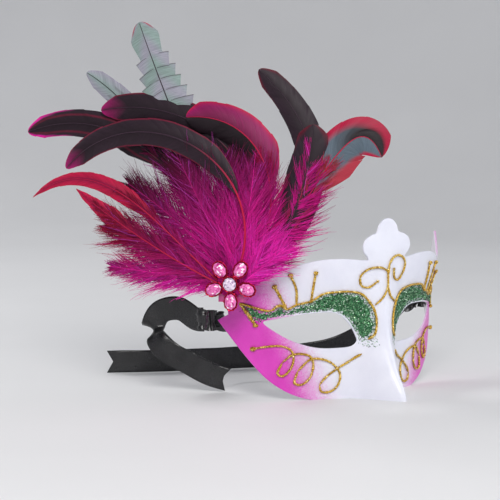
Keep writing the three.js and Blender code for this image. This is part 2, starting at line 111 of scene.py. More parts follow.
CHEEK = [
    [(79.4, 35.4), (72, 37), (64.6, 37), (59.4, 34), (57.6, 28), (59.4, 21),
     (63.6, 16.8), (66.2, 18.6), (64, 26)],
    [(64, 26), (59, 30.8), (53, 31.6), (47, 29.2), (45, 23), (47, 14.6), (52, 10.6),
     (56, 12), (54.6, 20)],
    [(54.6, 20), (47.4, 27.4), (40.8, 27.6), (32.4, 24), (27, 16.6), (28.4, 9),
     (33, 5), (38.6, 5.4), (40, 10)],
    [(40, 10), (36.6, 14.4), (28.8, 20.6), (22.4, 24.4), (14.6, 30)],
]

# name, shape, widest width, the four points of its curve in the fan, colours
FEATHERS = [
    ("feather_dark_tall_left", "coque", 20, [(2, -3), (26, 68), (80, 120), (148, 95)], "rimmed"),
    ("feather_lilac", "coque", 17, [(1, -3), (36, 68), (68, 115), (106, 135)], "lilac"),
    ("feather_barred", "barred", 36, [(0, -3), (19, 58), (47, 113), (70, 168)], "barred"),
    ("feather_dark_tall_arch", "coque", 22, [(1, -3), (-40, 62), (20, 125), (94, 110)], "tipped"),
    (
        "feather_dark_tall_right", "coque", 19,
        [(-2, -3), (-55, 39), (-70, 89), (-13, 137)], "maroon",
    ),
    ("feather_curled", "coque", 30, [(-3, -3), (-44, 30), (-74, 130), (-94, 81)], "eyed"),
    ("feather_dark_right", "coque", 26, [(-3, -3), (-30, 14), (-49, 60), (-50, 102)], "maroon"),
    ("feather_crimson_arch", "coque", 26, [(-1, -3), (-44, 46), (-22, 112), (34, 106)], "crimson"),
    ("fluff_low", "fluff", 24, [(3, -4), (28, 2), (56, 5), (86, 8)], "pink"),
    ("fluff_left", "fluff", 32, [(3, -3), (28, 12), (56, 22), (90, 36)], "crimson"),
    ("fluff_upper_left", "fluff", 34, [(2, -3), (18, 25), (44, 45), (74, 64)], "wine"),
    ("fluff_middle", "fluff", 36, [(1, -3), (10, 29), (24, 55), (40, 84)], "wine"),
    ("fluff_upper", "fluff", 34, [(0, -3), (4, 29), (5, 56), (6, 84)], "wine"),
    ("fluff_upper_right", "fluff", 34, [(-1, -3), (-8, 27), (-12, 54), (-14, 84)], "magenta"),
    ("fluff_right", "fluff", 28, [(-2, -3), (-14, 18), (-24, 34), (-32, 54)], "pink"),
    ("fluff_short_right", "fluff", 24, [(-3, -3), (-14, 6), (-26, 16), (-40, 28)], "hot"),
    ("hackle_long", "hackle", 12, [(3, -3), (40, 23), (88, 95), (139, 52)], "red"),
    ("hackle_crimson", "hackle", 16, [(2, -3), (35, 10), (90, 45), (107, 59)], "red"),
    ("feather_front_arch", "coque", 18, [(0, -3), (-40, 78), (66, 130), (114, 72)], "tipped"),
]


# ------------------------------------------------------------------ geometry helpers
def cubic(s, a, b, start, end):
    """From a to b as s goes from 0 to 1, leaving and arriving at the slopes start and end."""
    s2, s3 = s * s, s * s * s
    return (
        (2 * s3 - 3 * s2 + 1) * a
        + (s3 - 2 * s2 + s) * start
        + (3 * s2 - 2 * s3) * b
        + (s3 - s2) * end
    )


def hermite(stations, values, at):
    """A smooth curve through values at stations, read at the places in at."""
    stations = np.asarray(stations, float)
    values = np.asarray(values, float)
    at = np.clip(np.asarray(at, float), stations[0], stations[-1])
    last = len(stations) - 1
    slope = np.empty_like(values)
    for k in range(last + 1):
        a, b = max(k - 1, 0), min(k + 1, last)
        slope[k] = (values[b] - values[a]) / (stations[b] - stations[a])
    slope[0] = 0
    i = np.clip(np.searchsorted(stations, at, side="left") - 1, 0, last - 1)
    width = stations[i + 1] - stations[i]
    s = (at - stations[i]) / width
    return cubic(s, values[i], values[i + 1], slope[i] * width, slope[i + 1] * width)


def face_depth(x, z):
    """Depth of the shell's outer face."""
    x, z = np.broadcast_arrays(np.asarray(x, float), np.asarray(z, float))
    flat_x, flat_z = np.abs(x).ravel(), z.ravel()
    rows = np.stack([hermite(ACROSS, row, flat_x) for row in DEPTH])
    up = np.asarray(UP, float)
    at = np.clip(flat_z, up[0], up[-1])
    last = len(up) - 1
    i = np.clip(np.searchsorted(up, at, side="left") - 1, 0, last - 1)
    every = np.arange(len(at))

    def slope(k):
        a, b = np.maximum(k - 1, 0), np.minimum(k + 1, last)
        return (rows[b, every] - rows[a, every]) / (up[b] - up[a])

    width = up[i + 1] - up[i]
    s = (at - up[i]) / width
    start = np.where(i == 0, 0, slope(i)) * width
    end = slope(i + 1) * width
    return cubic(s, rows[i, every], rows[i + 1, every], start, end).reshape(x.shape)


def on_face(x, z, lift=0.0):
    """Points on the face, moved level out of it by lift, as an array of [x, y, z]."""
    x, z, lift = np.broadcast_arrays(
        np.asarray(x, float), np.asarray(z, float), np.asarray(lift, float)
    )
    slope = face_depth(x + 0.5, z) - face_depth(x - 0.5, z)
    length = np.hypot(slope, 1)
    return np.stack([x + lift * slope / length, face_depth(x, z) - lift / length, z], -1)


def smooth_path(points, step, closed=False):
    """A centripetal Catmull-Rom curve through points, read about every step."""
    p = np.asarray(points, float)
    if closed:
        p = np.concatenate([p[-1:], p, p[:2]])
    else:
        p = np.concatenate([2 * p[:1] - p[1:2], p, 2 * p[-1:] - p[-2:-1]])
    out = []
    for i in range(1, len(p) - 2):
        p0, p1, p2, p3 = p[i - 1], p[i], p[i + 1], p[i + 2]
        t = [0.0]
        for a, b in ((p0, p1), (p1, p2), (p2, p3)):
            t.append(t[-1] + max(np.linalg.norm(b - a), 1e-6) ** 0.5)
        count = max(2, int(round(np.linalg.norm(p2 - p1) / step)))
        u = np.linspace(t[1], t[2], count, endpoint=False)[:, None]
        a1 = (t[1] - u) / (t[1] - t[0]) * p0 + (u - t[0]) / (t[1] - t[0]) * p1
        a2 = (t[2] - u) / (t[2] - t[1]) * p1 + (u - t[1]) / (t[2] - t[1]) * p2
        a3 = (t[3] - u) / (t[3] - t[2]) * p2 + (u - t[2]) / (t[3] - t[2]) * p3
        b1 = (t[2] - u) / (t[2] - t[0]) * a1 + (u - t[0]) / (t[2] - t[0]) * a2
        b2 = (t[3] - u) / (t[3] - t[1]) * a2 + (u - t[1]) / (t[3] - t[1]) * a3
        out.append((t[2] - u) / (t[2] - t[1]) * b1 + (u - t[1]) / (t[2] - t[1]) * b2)
    if not closed:
        out.append(p[-2:-1])
    return np.concatenate(out)


def mirrored(points, side):
    return [(side * x, z) for x, z in points]


def to_row(points):
    """Millimetres in the nose's origin to metres in the row frame."""
    return (np.asarray(points, float) + CENTRE) / 1000


def strip_faces(rows, columns):
    """Quads between rows of vertices."""
    i, j = np.meshgrid(np.arange(rows - 1), np.arange(columns - 1), indexing="ij")
    first = i * columns + j
    return np.stack([first, first + 1, first + columns + 1, first + columns], -1).reshape(-1, 4)


def ring_faces(rings, sides):
    """Quads between rings of vertices, each ring closed on itself."""
    faces = []
    for i in range(rings - 1):
        for j in range(sides):
            a, b = i * sides, (i + 1) * sides
            k = (j + 1) % sides
            faces.append((a + j, a + k, b + k, b + j))
    return faces


def unit(vectors):
    return vectors / np.linalg.norm(vectors, axis=1, keepdims=True)


def mesh_piece(name, verts, faces, material, colours=None, smooth=True, body="mask", lie=None):
    """A piece from vertices in metres and faces, riding on a body.

    colours is per vertex, and lie is each vertex's place along a shaft and across a vane, in
    millimetres.
    """
    mesh = bpy.data.meshes.new(name)
    if isinstance(faces, np.ndarray):
        sides = faces.shape[1]
        mesh.vertices.add(len(verts))
        mesh.vertices.foreach_set("co", np.asarray(verts, np.float32).ravel())
        mesh.loops.add(faces.size)
        mesh.loops.foreach_set("vertex_index", faces.astype(np.int32).ravel())
        mesh.polygons.add(len(faces))
        starts = np.arange(0, faces.size, sides, dtype=np.int32)
        mesh.polygons.foreach_set("loop_start", starts)
        mesh.update(calc_edges=True)
        mesh.validate()
    else:
        mesh.from_pydata([tuple(v) for v in verts], [], [tuple(f) for f in faces])
        mesh.update()
    if colours is not None:
        layer = mesh.color_attributes.new("tint", "FLOAT_COLOR", "POINT")
        rgba = np.ones((len(mesh.vertices), 4), np.float32)
        rgba[:, :3] = colours
        layer.data.foreach_set("color", rgba.ravel())
    if lie is not None:
        layer = mesh.attributes.new("lie", "FLOAT_VECTOR", "POINT")
        layer.data.foreach_set("vector", np.asarray(lie, np.float32).ravel())
    mesh.polygons.foreach_set("use_smooth", np.full(len(mesh.polygons), smooth))
    mesh.materials.append(material)
    made = bpy.data.objects.new(name, mesh)
    bpy.context.scene.collection.objects.link(made)
    if body:
        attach(made, body)
    return made


# ------------------------------------------------------------------ material helpers
class Nodes:
    """A short way to write a node material."""

    def __init__(self, name, rough=0.5, metallic=0.0, **more):
        self.material = bpy.data.materials.new(name)
        self.material.use_nodes = True
        self.tree = self.material.node_tree
        self.shader = self.tree.nodes["Principled BSDF"]
        self.shader.inputs["Roughness"].default_value = rough
        self.shader.inputs["Metallic"].default_value = metallic
        for socket, value in more.items():
            self.shader.inputs[socket.replace("_", " ")].default_value = value

    def add(self, kind, **sockets):
        node = self.tree.nodes.new("ShaderNode" + kind)
        for socket, value in sockets.items():
            node.inputs[socket.replace("_", " ")].default_value = value
        return node

    def link(self, source, target):
        self.tree.links.new(source, target)

    def place(self):
        """Object coordinates, which are the row frame in metres."""
        return self.add("TexCoord").outputs["Object"]

    def noise(self, scale, detail=3.0, rough=0.55, where=None):
        node = self.add("TexNoise", Scale=scale, Detail=detail, Roughness=rough)
        self.link(where or self.place(), node.inputs["Vector"])
        return node.outputs["Fac"]

    def cells(self, scale, feature="F1"):
        node = self.add("TexVoronoi", Scale=scale)
        node.feature = feature
        self.link(self.place(), node.inputs["Vector"])
        return node

    def ramp(self, value, stops):
        node = self.add("ValToRGB")
        elements = node.color_ramp.elements
        while len(elements) < len(stops):
            elements.new(0.5)
        for element, (at, colour) in zip(elements, stops):
            element.position = at
            element.color = (*colour, 1)
        self.link(value, node.inputs["Fac"])
        return node.outputs["Color"]

    def mix(self, factor, a, b, how="MIX"):
        node = self.add("Mix")
        node.data_type = "RGBA"
        node.blend_type = how
        for socket, value in ((0, factor), (6, a), (7, b)):
            if isinstance(value, bpy.types.NodeSocket):
                self.link(value, node.inputs[socket])
            elif socket == 0:
                node.inputs[socket].default_value = value
            else:
                node.inputs[socket].default_value = (*value, 1)
        return node.outputs[2]

    def scaled(self, value, low, high, from_low=0.0, from_high=1.0):
        node = self.add("MapRange")
        node.inputs["From Min"].default_value = from_low
        node.inputs["From Max"].default_value = from_high
        node.inputs["To Min"].default_value = low
        node.inputs["To Max"].default_value = high
        self.link(value, node.inputs["Value"])
        return node.outputs["Result"]

    def attribute(self, name, output):
        node = self.add("Attribute")
        node.attribute_name = name
        return node.outputs[output]

    def tint(self):
        return self.attribute("tint", "Color")

    def colour(self, source):
        self.link(source, self.shader.inputs["Base Color"])

    def roughness(self, source):
        self.link(source, self.shader.inputs["Roughness"])

    def bump(self, height, strength, distance):
        node = self.add("Bump", Strength=strength, Distance=distance)
        self.link(height, node.inputs["Height"])
        self.link(node.outputs["Normal"], self.shader.inputs["Normal"])


# ------------------------------------------------------------------ materials
def shell_material():
    """Airbrushed plastic: the paint factor sits in the red of the tint, the inside in its green."""
    n = Nodes("shell_white", rough=0.34, Coat_Weight=0.25, Coat_Roughness=0.25)
    tint = n.add("SeparateColor")
    n.link(n.tint(), tint.inputs["Color"])
    spray = n.noise(1900, detail=1.0)
    soft = n.noise(55, detail=3.0)
    ragged = n.add("Math")
    ragged.operation = "MULTIPLY_ADD"
    n.link(n.scaled(spray, -0.34, 0.34, 0.3, 0.7), ragged.inputs[0])
    spread = n.scaled(tint.outputs["Red"], 0.0, 1.0)
    edge = n.ramp(
        spread,
        [(0.0, (0, 0, 0)), (0.25, (1, 1, 1)), (0.8, (0.8, 0.8, 0.8)), (1.0, (0.1, 0.1, 0.1))],
    )
    n.link(edge, ragged.inputs[1])
    n.link(spread, ragged.inputs[2])
    white = n.ramp(soft, [(0.3, (0.72, 0.73, 0.83)), (0.7, (0.78, 0.79, 0.88))])
    magenta = n.ramp(soft, [(0.3, (0.60, 0.022, 0.42)), (0.7, (0.70, 0.036, 0.50))])
    outside = n.mix(ragged.outputs[0], white, magenta)
    inside = n.ramp(soft, [(0.3, (0.72, 0.70, 0.76)), (0.7, (0.80, 0.78, 0.84))])
    n.colour(n.mix(tint.outputs["Green"], outside, inside))
    n.roughness(n.scaled(soft, 0.28, 0.42))
    n.bump(n.noise(420, detail=2.0), 0.12, 0.0004)
    return n.material


def grain_material(name, rough, metallic, scale, stops, gloss, bump):
    """Fine flakes set in glue, each with its own colour.

    gloss is the least and most roughness, and bump is its strength and distance.
    """
    n = Nodes(name, rough=rough, metallic=metallic)
    flakes = n.cells(scale)
    n.colour(n.ramp(flakes.outputs["Color"], stops))
    n.roughness(n.scaled(flakes.outputs["Distance"], *gloss))
    n.bump(flakes.outputs["Distance"], *bump)
    return n.material


def gold_material():
    stops = [
        (0.0, (0.12, 0.055, 0.006)), (0.35, (0.46, 0.25, 0.02)), (0.66, (0.80, 0.50, 0.05)),
        (0.92, (1.0, 0.88, 0.40)),
    ]
    return grain_material("gold_glue", 0.3, 0.55, 1500, stops, (0.18, 0.5), (0.8, 0.0006))


def glitter_material():
    stops = [
        (0.0, (0.004, 0.022, 0.008)), (0.3, (0.014, 0.085, 0.030)), (0.55, (0.04, 0.20, 0.075)),
        (0.78, (0.13, 0.36, 0.17)), (0.93, (0.60, 0.80, 0.62)),
    ]
    return grain_material("green_glitter", 0.35, 0.25, 1150, stops, (0.2, 0.6), (0.9, 0.0007))


def flake_material():
    rough = 0.25
    n = Nodes("loose_flakes", rough=rough, metallic=0.4)
    n.colour(n.tint())
    n.roughness(n.scaled(n.noise(900), rough * 0.6, rough * 1.6))
    return n.material


def down_material():
    """Loose strands take their colour from the tint, with fine streaks."""
    n = Nodes("down", rough=0.7, Sheen_Weight=0.08, Sheen_Roughness=0.5)
    n.shader.inputs["Specular IOR Level"].default_value = 0.15
    streak = n.ramp(n.noise(700, detail=2.0), [(0.25, (0.7, 0.7, 0.7)), (0.75, (1.0, 1.0, 1.0))])
    n.colour(n.mix(1.0, n.tint(), streak, "MULTIPLY"))
    n.roughness(n.scaled(n.noise(300), 0.6, 0.85))
    return n.material


def vane_material():
    """Barbs hooked into a smooth vane: fine ridges run from the shaft to the edge."""
    n = Nodes("vane", rough=0.42, Sheen_Weight=0.04, Sheen_Roughness=0.4)
    n.shader.inputs["Specular IOR Level"].default_value = 0.2
    lie = n.attribute("lie", "Vector")
    stretch = n.add("VectorMath")
    stretch.operation = "MULTIPLY"
    stretch.inputs[1].default_value = (2.6, 0.10, 1.0)
    n.link(lie, stretch.inputs[0])
    ridges = n.noise(1.0, detail=2.0, rough=0.6, where=stretch.outputs["Vector"])
    streak = n.ramp(ridges, [(0.3, (0.62, 0.62, 0.62)), (0.7, (1.0, 1.0, 1.0))])
    n.colour(n.mix(1.0, n.tint(), streak, "MULTIPLY"))
    n.roughness(n.scaled(ridges, 0.34, 0.56))
    n.bump(ridges, 0.35, 0.0003)
    return n.material


def gem_material():
    n = Nodes("gem", rough=0.1, Coat_Weight=0.3, Coat_Roughness=0.05)
    n.shader.inputs["IOR"].default_value = 1.55
    n.colour(n.tint())
    n.roughness(n.scaled(n.noise(500), 0.08, 0.2))
    return n.material


def foil_material(name, low, high):
    n = Nodes(name, rough=0.22, metallic=0.9)
    crinkle = n.noise(900, detail=4.0)
    n.colour(n.ramp(crinkle, [(0.3, low), (0.7, high)]))
    n.roughness(n.scaled(crinkle, 0.12, 0.4))
    n.bump(crinkle, 0.5, 0.0005)
    return n.material


def satin_material():
    n = Nodes("black_satin", rough=0.34, Sheen_Weight=0.1, Sheen_Roughness=0.35)
    n.shader.inputs["Specular IOR Level"].default_value = 0.5
    weave = n.noise(2600, detail=1.0)
    folds = n.noise(60, detail=2.0)
    n.colour(n.ramp(folds, [(0.3, (0.004, 0.004, 0.005)), (0.7, (0.014, 0.014, 0.016))]))
    n.roughness(n.scaled(weave, 0.2, 0.34))
    n.bump(weave, 0.15, 0.0002)
    return n.material


def felt_material():
    n = Nodes("felt", rough=0.95)
    fibres = n.noise(900, detail=4.0)
    n.colour(n.ramp(fibres, [(0.3, (0.012, 0.004, 0.008)), (0.7, (0.05, 0.012, 0.03))]))
    n.bump(fibres, 0.6, 0.0006)
    return n.material


def glue_material():
    n = Nodes("set_glue", rough=0.3, Coat_Weight=0.4)
    cloud = n.noise(160, detail=2.0)
    n.colour(n.ramp(cloud, [(0.3, (0.36, 0.02, 0.15)), (0.7, (0.52, 0.05, 0.24))]))
    n.bump(cloud, 0.3, 0.001)
    return n.material


SHELL = shell_material()
GOLD = gold_material()
GREEN = glitter_material()
FLAKES = flake_material()
DOWN = down_material()
VANE = vane_material()
GEM = gem_material()
FOIL = foil_material("red_foil", (0.30, 0.004, 0.02), (0.72, 0.02, 0.08))
PLATE = foil_material("plate_foil", (0.16, 0.002, 0.05), (0.42, 0.008, 0.17))
SATIN = satin_material()
FELT = felt_material()
GLUE = glue_material()


# ------------------------------------------------------------------ the shell
def rounded_outline(points, step, corners=()):
    """A closed outline at even spacing, smooth except at the named corners."""
    marks = [i for i, p in enumerate(points) if tuple(np.round(np.abs(p), 2)) in corners]
    if not marks:
        return smooth_path(points, step, closed=True)
    out = []
    turned = [points[(i + marks[0]) % len(points)] for i in range(len(points))]
    turned.append(turned[0])
    run = [turned[0]]
    for p in turned[1:]:
        run.append(p)
        if tuple(np.round(np.abs(p), 2)) in corners:
            out.append(smooth_path(run, step)[:-1])
            run = [p]
    return np.concatenate(out)


def inside(points, loop):
    """Which points lie inside a closed loop."""
    x, z = points[:, 0], points[:, 1]
    hit = np.zeros(len(points), bool)
    a, b = loop, np.roll(loop, -1, axis=0)
    for (x0, z0), (x1, z1) in zip(a, b):
        crosses = (z0 > z) != (z1 > z)
        at = (x1 - x0) * (z - z0) / ((z1 - z0) if z1 != z0 else 1e-9) + x0
        hit ^= crosses & (x < at)
    return hit


NEAR_CHUNK = 2000  # points compared at a time


def near(points, loop, distance):
    """Which points lie within distance of a loop's vertices."""
    hit = np.zeros(len(points), bool)
    for start in range(0, len(points), NEAR_CHUNK):
        part = points[start : start + NEAR_CHUNK]
        gap = np.linalg.norm(part[:, None, :] - loop[None], axis=2).min(1)
        hit[start : start + NEAR_CHUNK] = gap < distance
    return hit


def flat_region(outer, holes, step):
    """A triangulated flat region: 2D points and triangles."""
    low, high = outer.min(0), outer.max(0)
    grid = []
    row = 0
    z = low[1] + step / 2
    while z < high[1]:
        x = np.arange(low[0] + (step / 2 if row % 2 else step), high[0], step)
        grid.append(np.stack([x, np.full_like(x, z)], 1))
        z += step * 0.866
        row += 1
    grid = np.concatenate(grid)
    keep = inside(grid, outer) & ~near(grid, outer, step * 0.62)
    for hole in holes:
        keep &= ~inside(grid, hole) & ~near(grid, hole, step * 0.62)
    points = [outer, *holes, grid[keep]]
    edges, start = [], 0
    for loop in (outer, *holes):
        count = len(loop)
        edges += [(start + i, start + (i + 1) % count) for i in range(count)]
        start += count
    flat = np.concatenate(points)
    made = geometry.delaunay_2d_cdt([Vector(p) for p in flat], edges, [], 2, 1e-5)
    verts = np.array([tuple(v) for v in made[0]])
    faces = np.array([f for f in made[2] if len(f) == 3])
    a, b, c = (verts[faces[:, i]] for i in range(3))
    middle = (a + b + c) / 3
    keep = inside(middle, outer)
    for hole in holes:
        keep &= ~inside(middle, hole)
    faces = faces[keep]
    a, b, c = (verts[faces[:, i]] for i in range(3))
    turn = (b[:, 0] - a[:, 0]) * (c[:, 1] - a[:, 1]) - (b[:, 1] - a[:, 1]) * (c[:, 0] - a[:, 0])
    faces[turn < 0] = faces[turn < 0][:, ::-1]
    return verts, faces


def border_edges(faces):
    """The edges that one triangle alone uses, in that triangle's direction."""
    seen = {}
    for f in faces:
        for i in range(3):
            e = (int(f[i]), int(f[(i + 1) % 3]))
            seen[e] = True
    return [e for e in seen if (e[1], e[0]) not in seen]


def paint_amount(x, z):
    """How much magenta the airbrush left: most on the outer sides and cheeks, none at the nose."""
    x = np.abs(x)
    heights = [0, 12, 25, 40, 52, 62, 75, 90, 100]
    start = np.interp(z, heights, [22, 27, 33, 41, 48, 54, 60, 70, 80])
    width = np.interp(z, [0, 30, 60, 100], [38, 34, 28, 20])
    s = np.clip((x - start) / width, 0, 1)
    return s * s * (3 - 2 * s)


def shell_piece():
    half = OUTLINE[1:]
    closed = [*OUTLINE, *[(-x, z) for x, z in reversed(half)]]
    outer = rounded_outline(closed, 1.3, SHARP_CORNERS)
    outer[:, 1] = np.maximum(outer[:, 1], 0)
    holes = [smooth_path(mirrored(EYE, side), 1.2, closed=True) for side in (-1, 1)]
    flat, faces = flat_region(outer, holes, FINE_STEP)
    count = len(flat)
    x, z = flat[:, 0], flat[:, 1]
    front = on_face(x, z, 0.0)
    back = on_face(x, z, -SHELL_THICKNESS)
    border = border_edges(faces)
    used = sorted({i for e in border for i in e})
    at = {v: i for i, v in enumerate(used)}
    away = np.zeros((len(used), 2))
    for a, b in border:
        d = flat[b] - flat[a]
        normal = np.array([d[1], -d[0]]) / max(np.linalg.norm(d), 1e-9)
        away[at[a]] += normal
        away[at[b]] += normal
    away /= np.maximum(np.linalg.norm(away, axis=1, keepdims=True), 1e-9)
    rim = flat[used] + 0.22 * away
    rim[:, 1] = np.maximum(rim[:, 1], 0.0)
    ring_a = on_face(rim[:, 0], rim[:, 1], -0.4)
    ring_b = on_face(rim[:, 0], rim[:, 1], -SHELL_THICKNESS + 0.4)
    verts = np.concatenate([front, back, ring_a, ring_b])
    walls = []
    first, second = 2 * count, 2 * count + len(used)
    for a, b in border:
        walls.append((b, a, first + at[a], first + at[b]))
        walls.append((first + at[b], first + at[a], second + at[a], second + at[b]))
        walls.append((second + at[b], second + at[a], count + a, count + b))
    every = [tuple(f) for f in faces] + [tuple(count + f[::-1]) for f in faces] + walls
    paint = paint_amount(x, z)
    colours = np.zeros((len(verts), 3))
    colours[:count, 0] = paint
    colours[count : 2 * count, 1] = 1.0
    colours[2 * count :, 0] = np.tile(0.55 * paint[used], 2)
    made = mesh_piece("mask_shell_fine", to_row(verts), every, SHELL, colours)
    made.data.set_sharp_from_angle(angle=math.radians(48))
    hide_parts("mask_shell")
    return made


# ------------------------------------------------------------------ gold lines and glitter
def tube(path_xz, radius, seed):
    """A slightly lumpy bead along a path on the face."""
    rng = np.random.default_rng(seed)
    p = smooth_path(path_xz, 0.8)
    along = unit(np.gradient(p, axis=0))
    lumps = radius * (1 + 0.14 * rng.standard_normal(len(p)))
    taper = np.minimum(1, 0.35 + np.minimum(np.arange(len(p)), np.arange(len(p))[::-1]) / 3)
    lumps = np.clip(lumps, radius * 0.75, radius * 1.35) * taper
    turn = np.linspace(0, 2 * np.pi, BEAD_SIDES + 1)[:-1]
    rings = []
    for angle in turn:
        side = np.cos(angle) * lumps
        lift = GAP * 0.4 + radius * 0.8 + np.sin(angle) * lumps * 0.95
        q = p + np.stack([along[:, 1], -along[:, 0]], 1) * side[:, None]
        rings.append(on_face(q[:, 0], q[:, 1], lift))
    verts = np.stack(rings, 1).reshape(-1, 3)
    faces = ring_faces(len(p), BEAD_SIDES)
    faces.append(tuple(range(BEAD_SIDES - 1, -1, -1)))
    faces.append(tuple(range((len(p) - 1) * BEAD_SIDES, len(p) * BEAD_SIDES)))
    return verts, faces


def blob(x, z, radius, seed):
    """A lumpy end drop on the face."""
    rng = np.random.default_rng(seed)
    verts = []
    rings, sides = 5, 9
    for i in range(rings + 1):
        polar = math.pi * i / rings
        for j in range(sides):
            a = 2 * math.pi * j / sides
            r = radius * (1 + 0.1 * rng.standard_normal())
            dx = r * math.sin(polar) * math.cos(a)
            dz = r * math.sin(polar) * math.sin(a)
            lift = GAP + radius * 0.6 - r * 0.8 * math.cos(polar)
            verts.append(on_face(x + dx, z + dz, lift))
    return np.array(verts), ring_faces(rings + 1, sides)


def gold_piece(name, lines, drops):
    verts, faces, start = [], [], 0
    made = [tube(line, BEAD_RADIUS, 7 + i) for i, line in enumerate(lines)]
    made += [blob(x, z, r, 31 + i) for i, (x, z, r) in enumerate(drops)]
    for v, f in made:
        verts.append(v)
        faces += [tuple(i + start for i in one) for one in f]
        start += len(v)
    piece = mesh_piece(name + "_fine", to_row(np.concatenate(verts)), faces, GOLD)
    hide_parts(name)
    return piece


def gold_pieces():
    gold_piece("gold_forehead_scroll", SCROLL, [(0, 86, 0.95), (5.6, 86, 1.0), (-8, 78.6, 1.0)])
    for side, hand in ((-1, "right"), (1, "left")):
        lines = [mirrored(p, side) for p in (EYE_LINE, EYE_CORNER, *LASHES)]
        drops = [(side * p[2][0], p[2][1], 1.5) for p in LASHES]
        drops += [(side * 78.4, 51, 1.4), (side * 67.4, 64.2, 1.2), (side * 50.4, 67, 1.2)]
        gold_piece("gold_eye_outline_" + hand, lines, drops)
        lines = [mirrored(p, side) for p in CHEEK]
        gold_piece("gold_cheek_curl_" + hand, lines, [(side * 79.4, 35.4, 1.6)])


GREENS = np.array([
    (0.006, 0.04, 0.014), (0.02, 0.13, 0.045), (0.06, 0.27, 0.10), (0.22, 0.48, 0.24),
    (0.66, 0.84, 0.66),
])
GREEN_SHARES = (0.24, 0.28, 0.24, 0.14, 0.1)
FLAKE_TRIES = 17000
FLAKE_FIELD = (6, 34), (86, 74)  # the corners of the area that flakes are scattered over


def flakes_on_face(x, z, size, colours, rng, lift):
    """Tilted hexagonal flakes, each its own face."""
    count = len(x)
    centre = on_face(x, z, lift)
    out = unit(centre - on_face(x, z, lift - 1.0))
    out = unit(out + 0.45 * rng.standard_normal(out.shape))
    spare = np.array([0.0, 0.0, 1.0]) + 0.2 * rng.standard_normal(out.shape)
    u = unit(np.cross(out, spare))
    v = np.cross(out, u)
    turn = np.linspace(0, 2 * np.pi, 7)[:-1]
    ring = [centre + size[:, None] * (np.cos(a) * u + np.sin(a) * v) for a in turn]
    verts = np.stack(ring, 1).reshape(-1, 3)
    faces = np.arange(count * 6).reshape(count, 6)
    return verts, faces, np.repeat(colours, 6, axis=0)


def glitter_piece(side, hand):
    rng = np.random.default_rng(11 + side)
    loop = smooth_path(mirrored(GLITTER, side), 1.0, closed=True)
    ragged = loop + 0.45 * rng.standard_normal(loop.shape)
    flat, faces = flat_region(ragged, [], FINE_STEP)
    lift = GAP + 0.12 + 0.2 * rng.random(len(flat))
    border = sorted({i for e in border_edges(faces) for i in e})
    lift[border] = 0.06
    verts = on_face(flat[:, 0], flat[:, 1], lift)
    patch = mesh_piece(
        "green_glitter_" + hand + "_fine", to_row(verts), [tuple(f) for f in faces], GREEN
    )
    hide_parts("green_glitter_" + hand)
    eye = smooth_path(mirrored(EYE, side), 1.2, closed=True)
    spots = rng.uniform(*FLAKE_FIELD, (FLAKE_TRIES, 2)) * (side, 1)
    held = inside(spots, loop)
    beside = near(spots, loop, 1.7) & (rng.random(len(spots)) < 0.8)
    close = (beside | near(spots, loop, 3.0) & (rng.random(len(spots)) < 0.14)) & ~held
    tail = np.hypot(np.abs(spots[:, 0]) - 11, (spots[:, 1] - 38) * 1.2) < 5.5
    close |= tail & (rng.random(len(spots)) < 0.2)
    thin = held & (rng.random(len(spots)) < 0.45)
    off_eye = ~inside(spots, eye) & ~near(spots, eye, 0.9)
    spots = spots[(thin | close) & off_eye]
    size = rng.uniform(0.18, 0.42, len(spots))
    colours = GREENS[rng.choice(5, len(spots), p=GREEN_SHARES)]
    lifts = np.where(inside(spots, loop), 0.75, 0.2)
    v, f, c = flakes_on_face(spots[:, 0], spots[:, 1], size, colours, rng, lifts)
    loose = mesh_piece("glitter_flakes_" + hand, to_row(v), f, FLAKES, c, smooth=False)


# ------------------------------------------------------------------ the plume
TURN = math.radians(50)  # the plume faces this far to the wearer's right of straight ahead
PLUME_LEFT = np.array([-math.cos(TURN), math.sin(TURN), 0.0])
PLUME_OUT = np.array([-math.sin(TURN), -math.cos(TURN), 0.0])
PLUME_ROOT = on_face(-88.6, 81.0, 0.0)

HOT = np.array((1.0, 0.022, 0.52))
PINK = np.array((0.86, 0.012, 0.37))
MAGENTA = np.array((0.46, 0.006, 0.17))
# a pale violet painted into some down strands as a sheen
VIOLET_SHEEN = np.array((0.60, 0.060, 0.52))
WINE = np.array((0.17, 0.004, 0.055))
CRIMSON = np.array((0.33, 0.003, 0.045))
RED = np.array((0.56, 0.006, 0.060))
SALMON = np.array((0.42, 0.035, 0.060))
DARK = np.array((0.012, 0.005, 0.009))
SMOKE = np.array((0.028, 0.014, 0.024))
SLATE = np.array((0.11, 0.15, 0.19))
GREY_GREEN = np.array((0.27, 0.36, 0.34))
LILAC = np.array((0.36, 0.34, 0.42))

# For each palette: its down near the root of the fan and at its outside, then its quill at the
# root and at the tip.
PALETTES = {
    "hot": (HOT, PINK, HOT, HOT),
    "pink": (HOT * 0.9, MAGENTA, HOT, PINK),
    "magenta": (PINK, WINE * 1.3, HOT, PINK),
    "wine": (PINK * 0.85, WINE * 0.6, PINK, MAGENTA),
    "red": (MAGENTA, CRIMSON * 0.8, RED, RED),
    "crimson": (PINK, CRIMSON, RED, RED),
    "eyed": (MAGENTA, SALMON, RED, RED),
    "tipped": (MAGENTA, WINE, RED, SMOKE * 1.8),
    "maroon": (PINK, MAGENTA, MAGENTA, SMOKE * 1.6),
    "rimmed": (MAGENTA, WINE, RED, SMOKE * 1.6),
    "lilac": (MAGENTA * 0.5, SMOKE, SMOKE, SMOKE),
    "barred": (MAGENTA * 0.5, SMOKE, SMOKE, SMOKE),
}


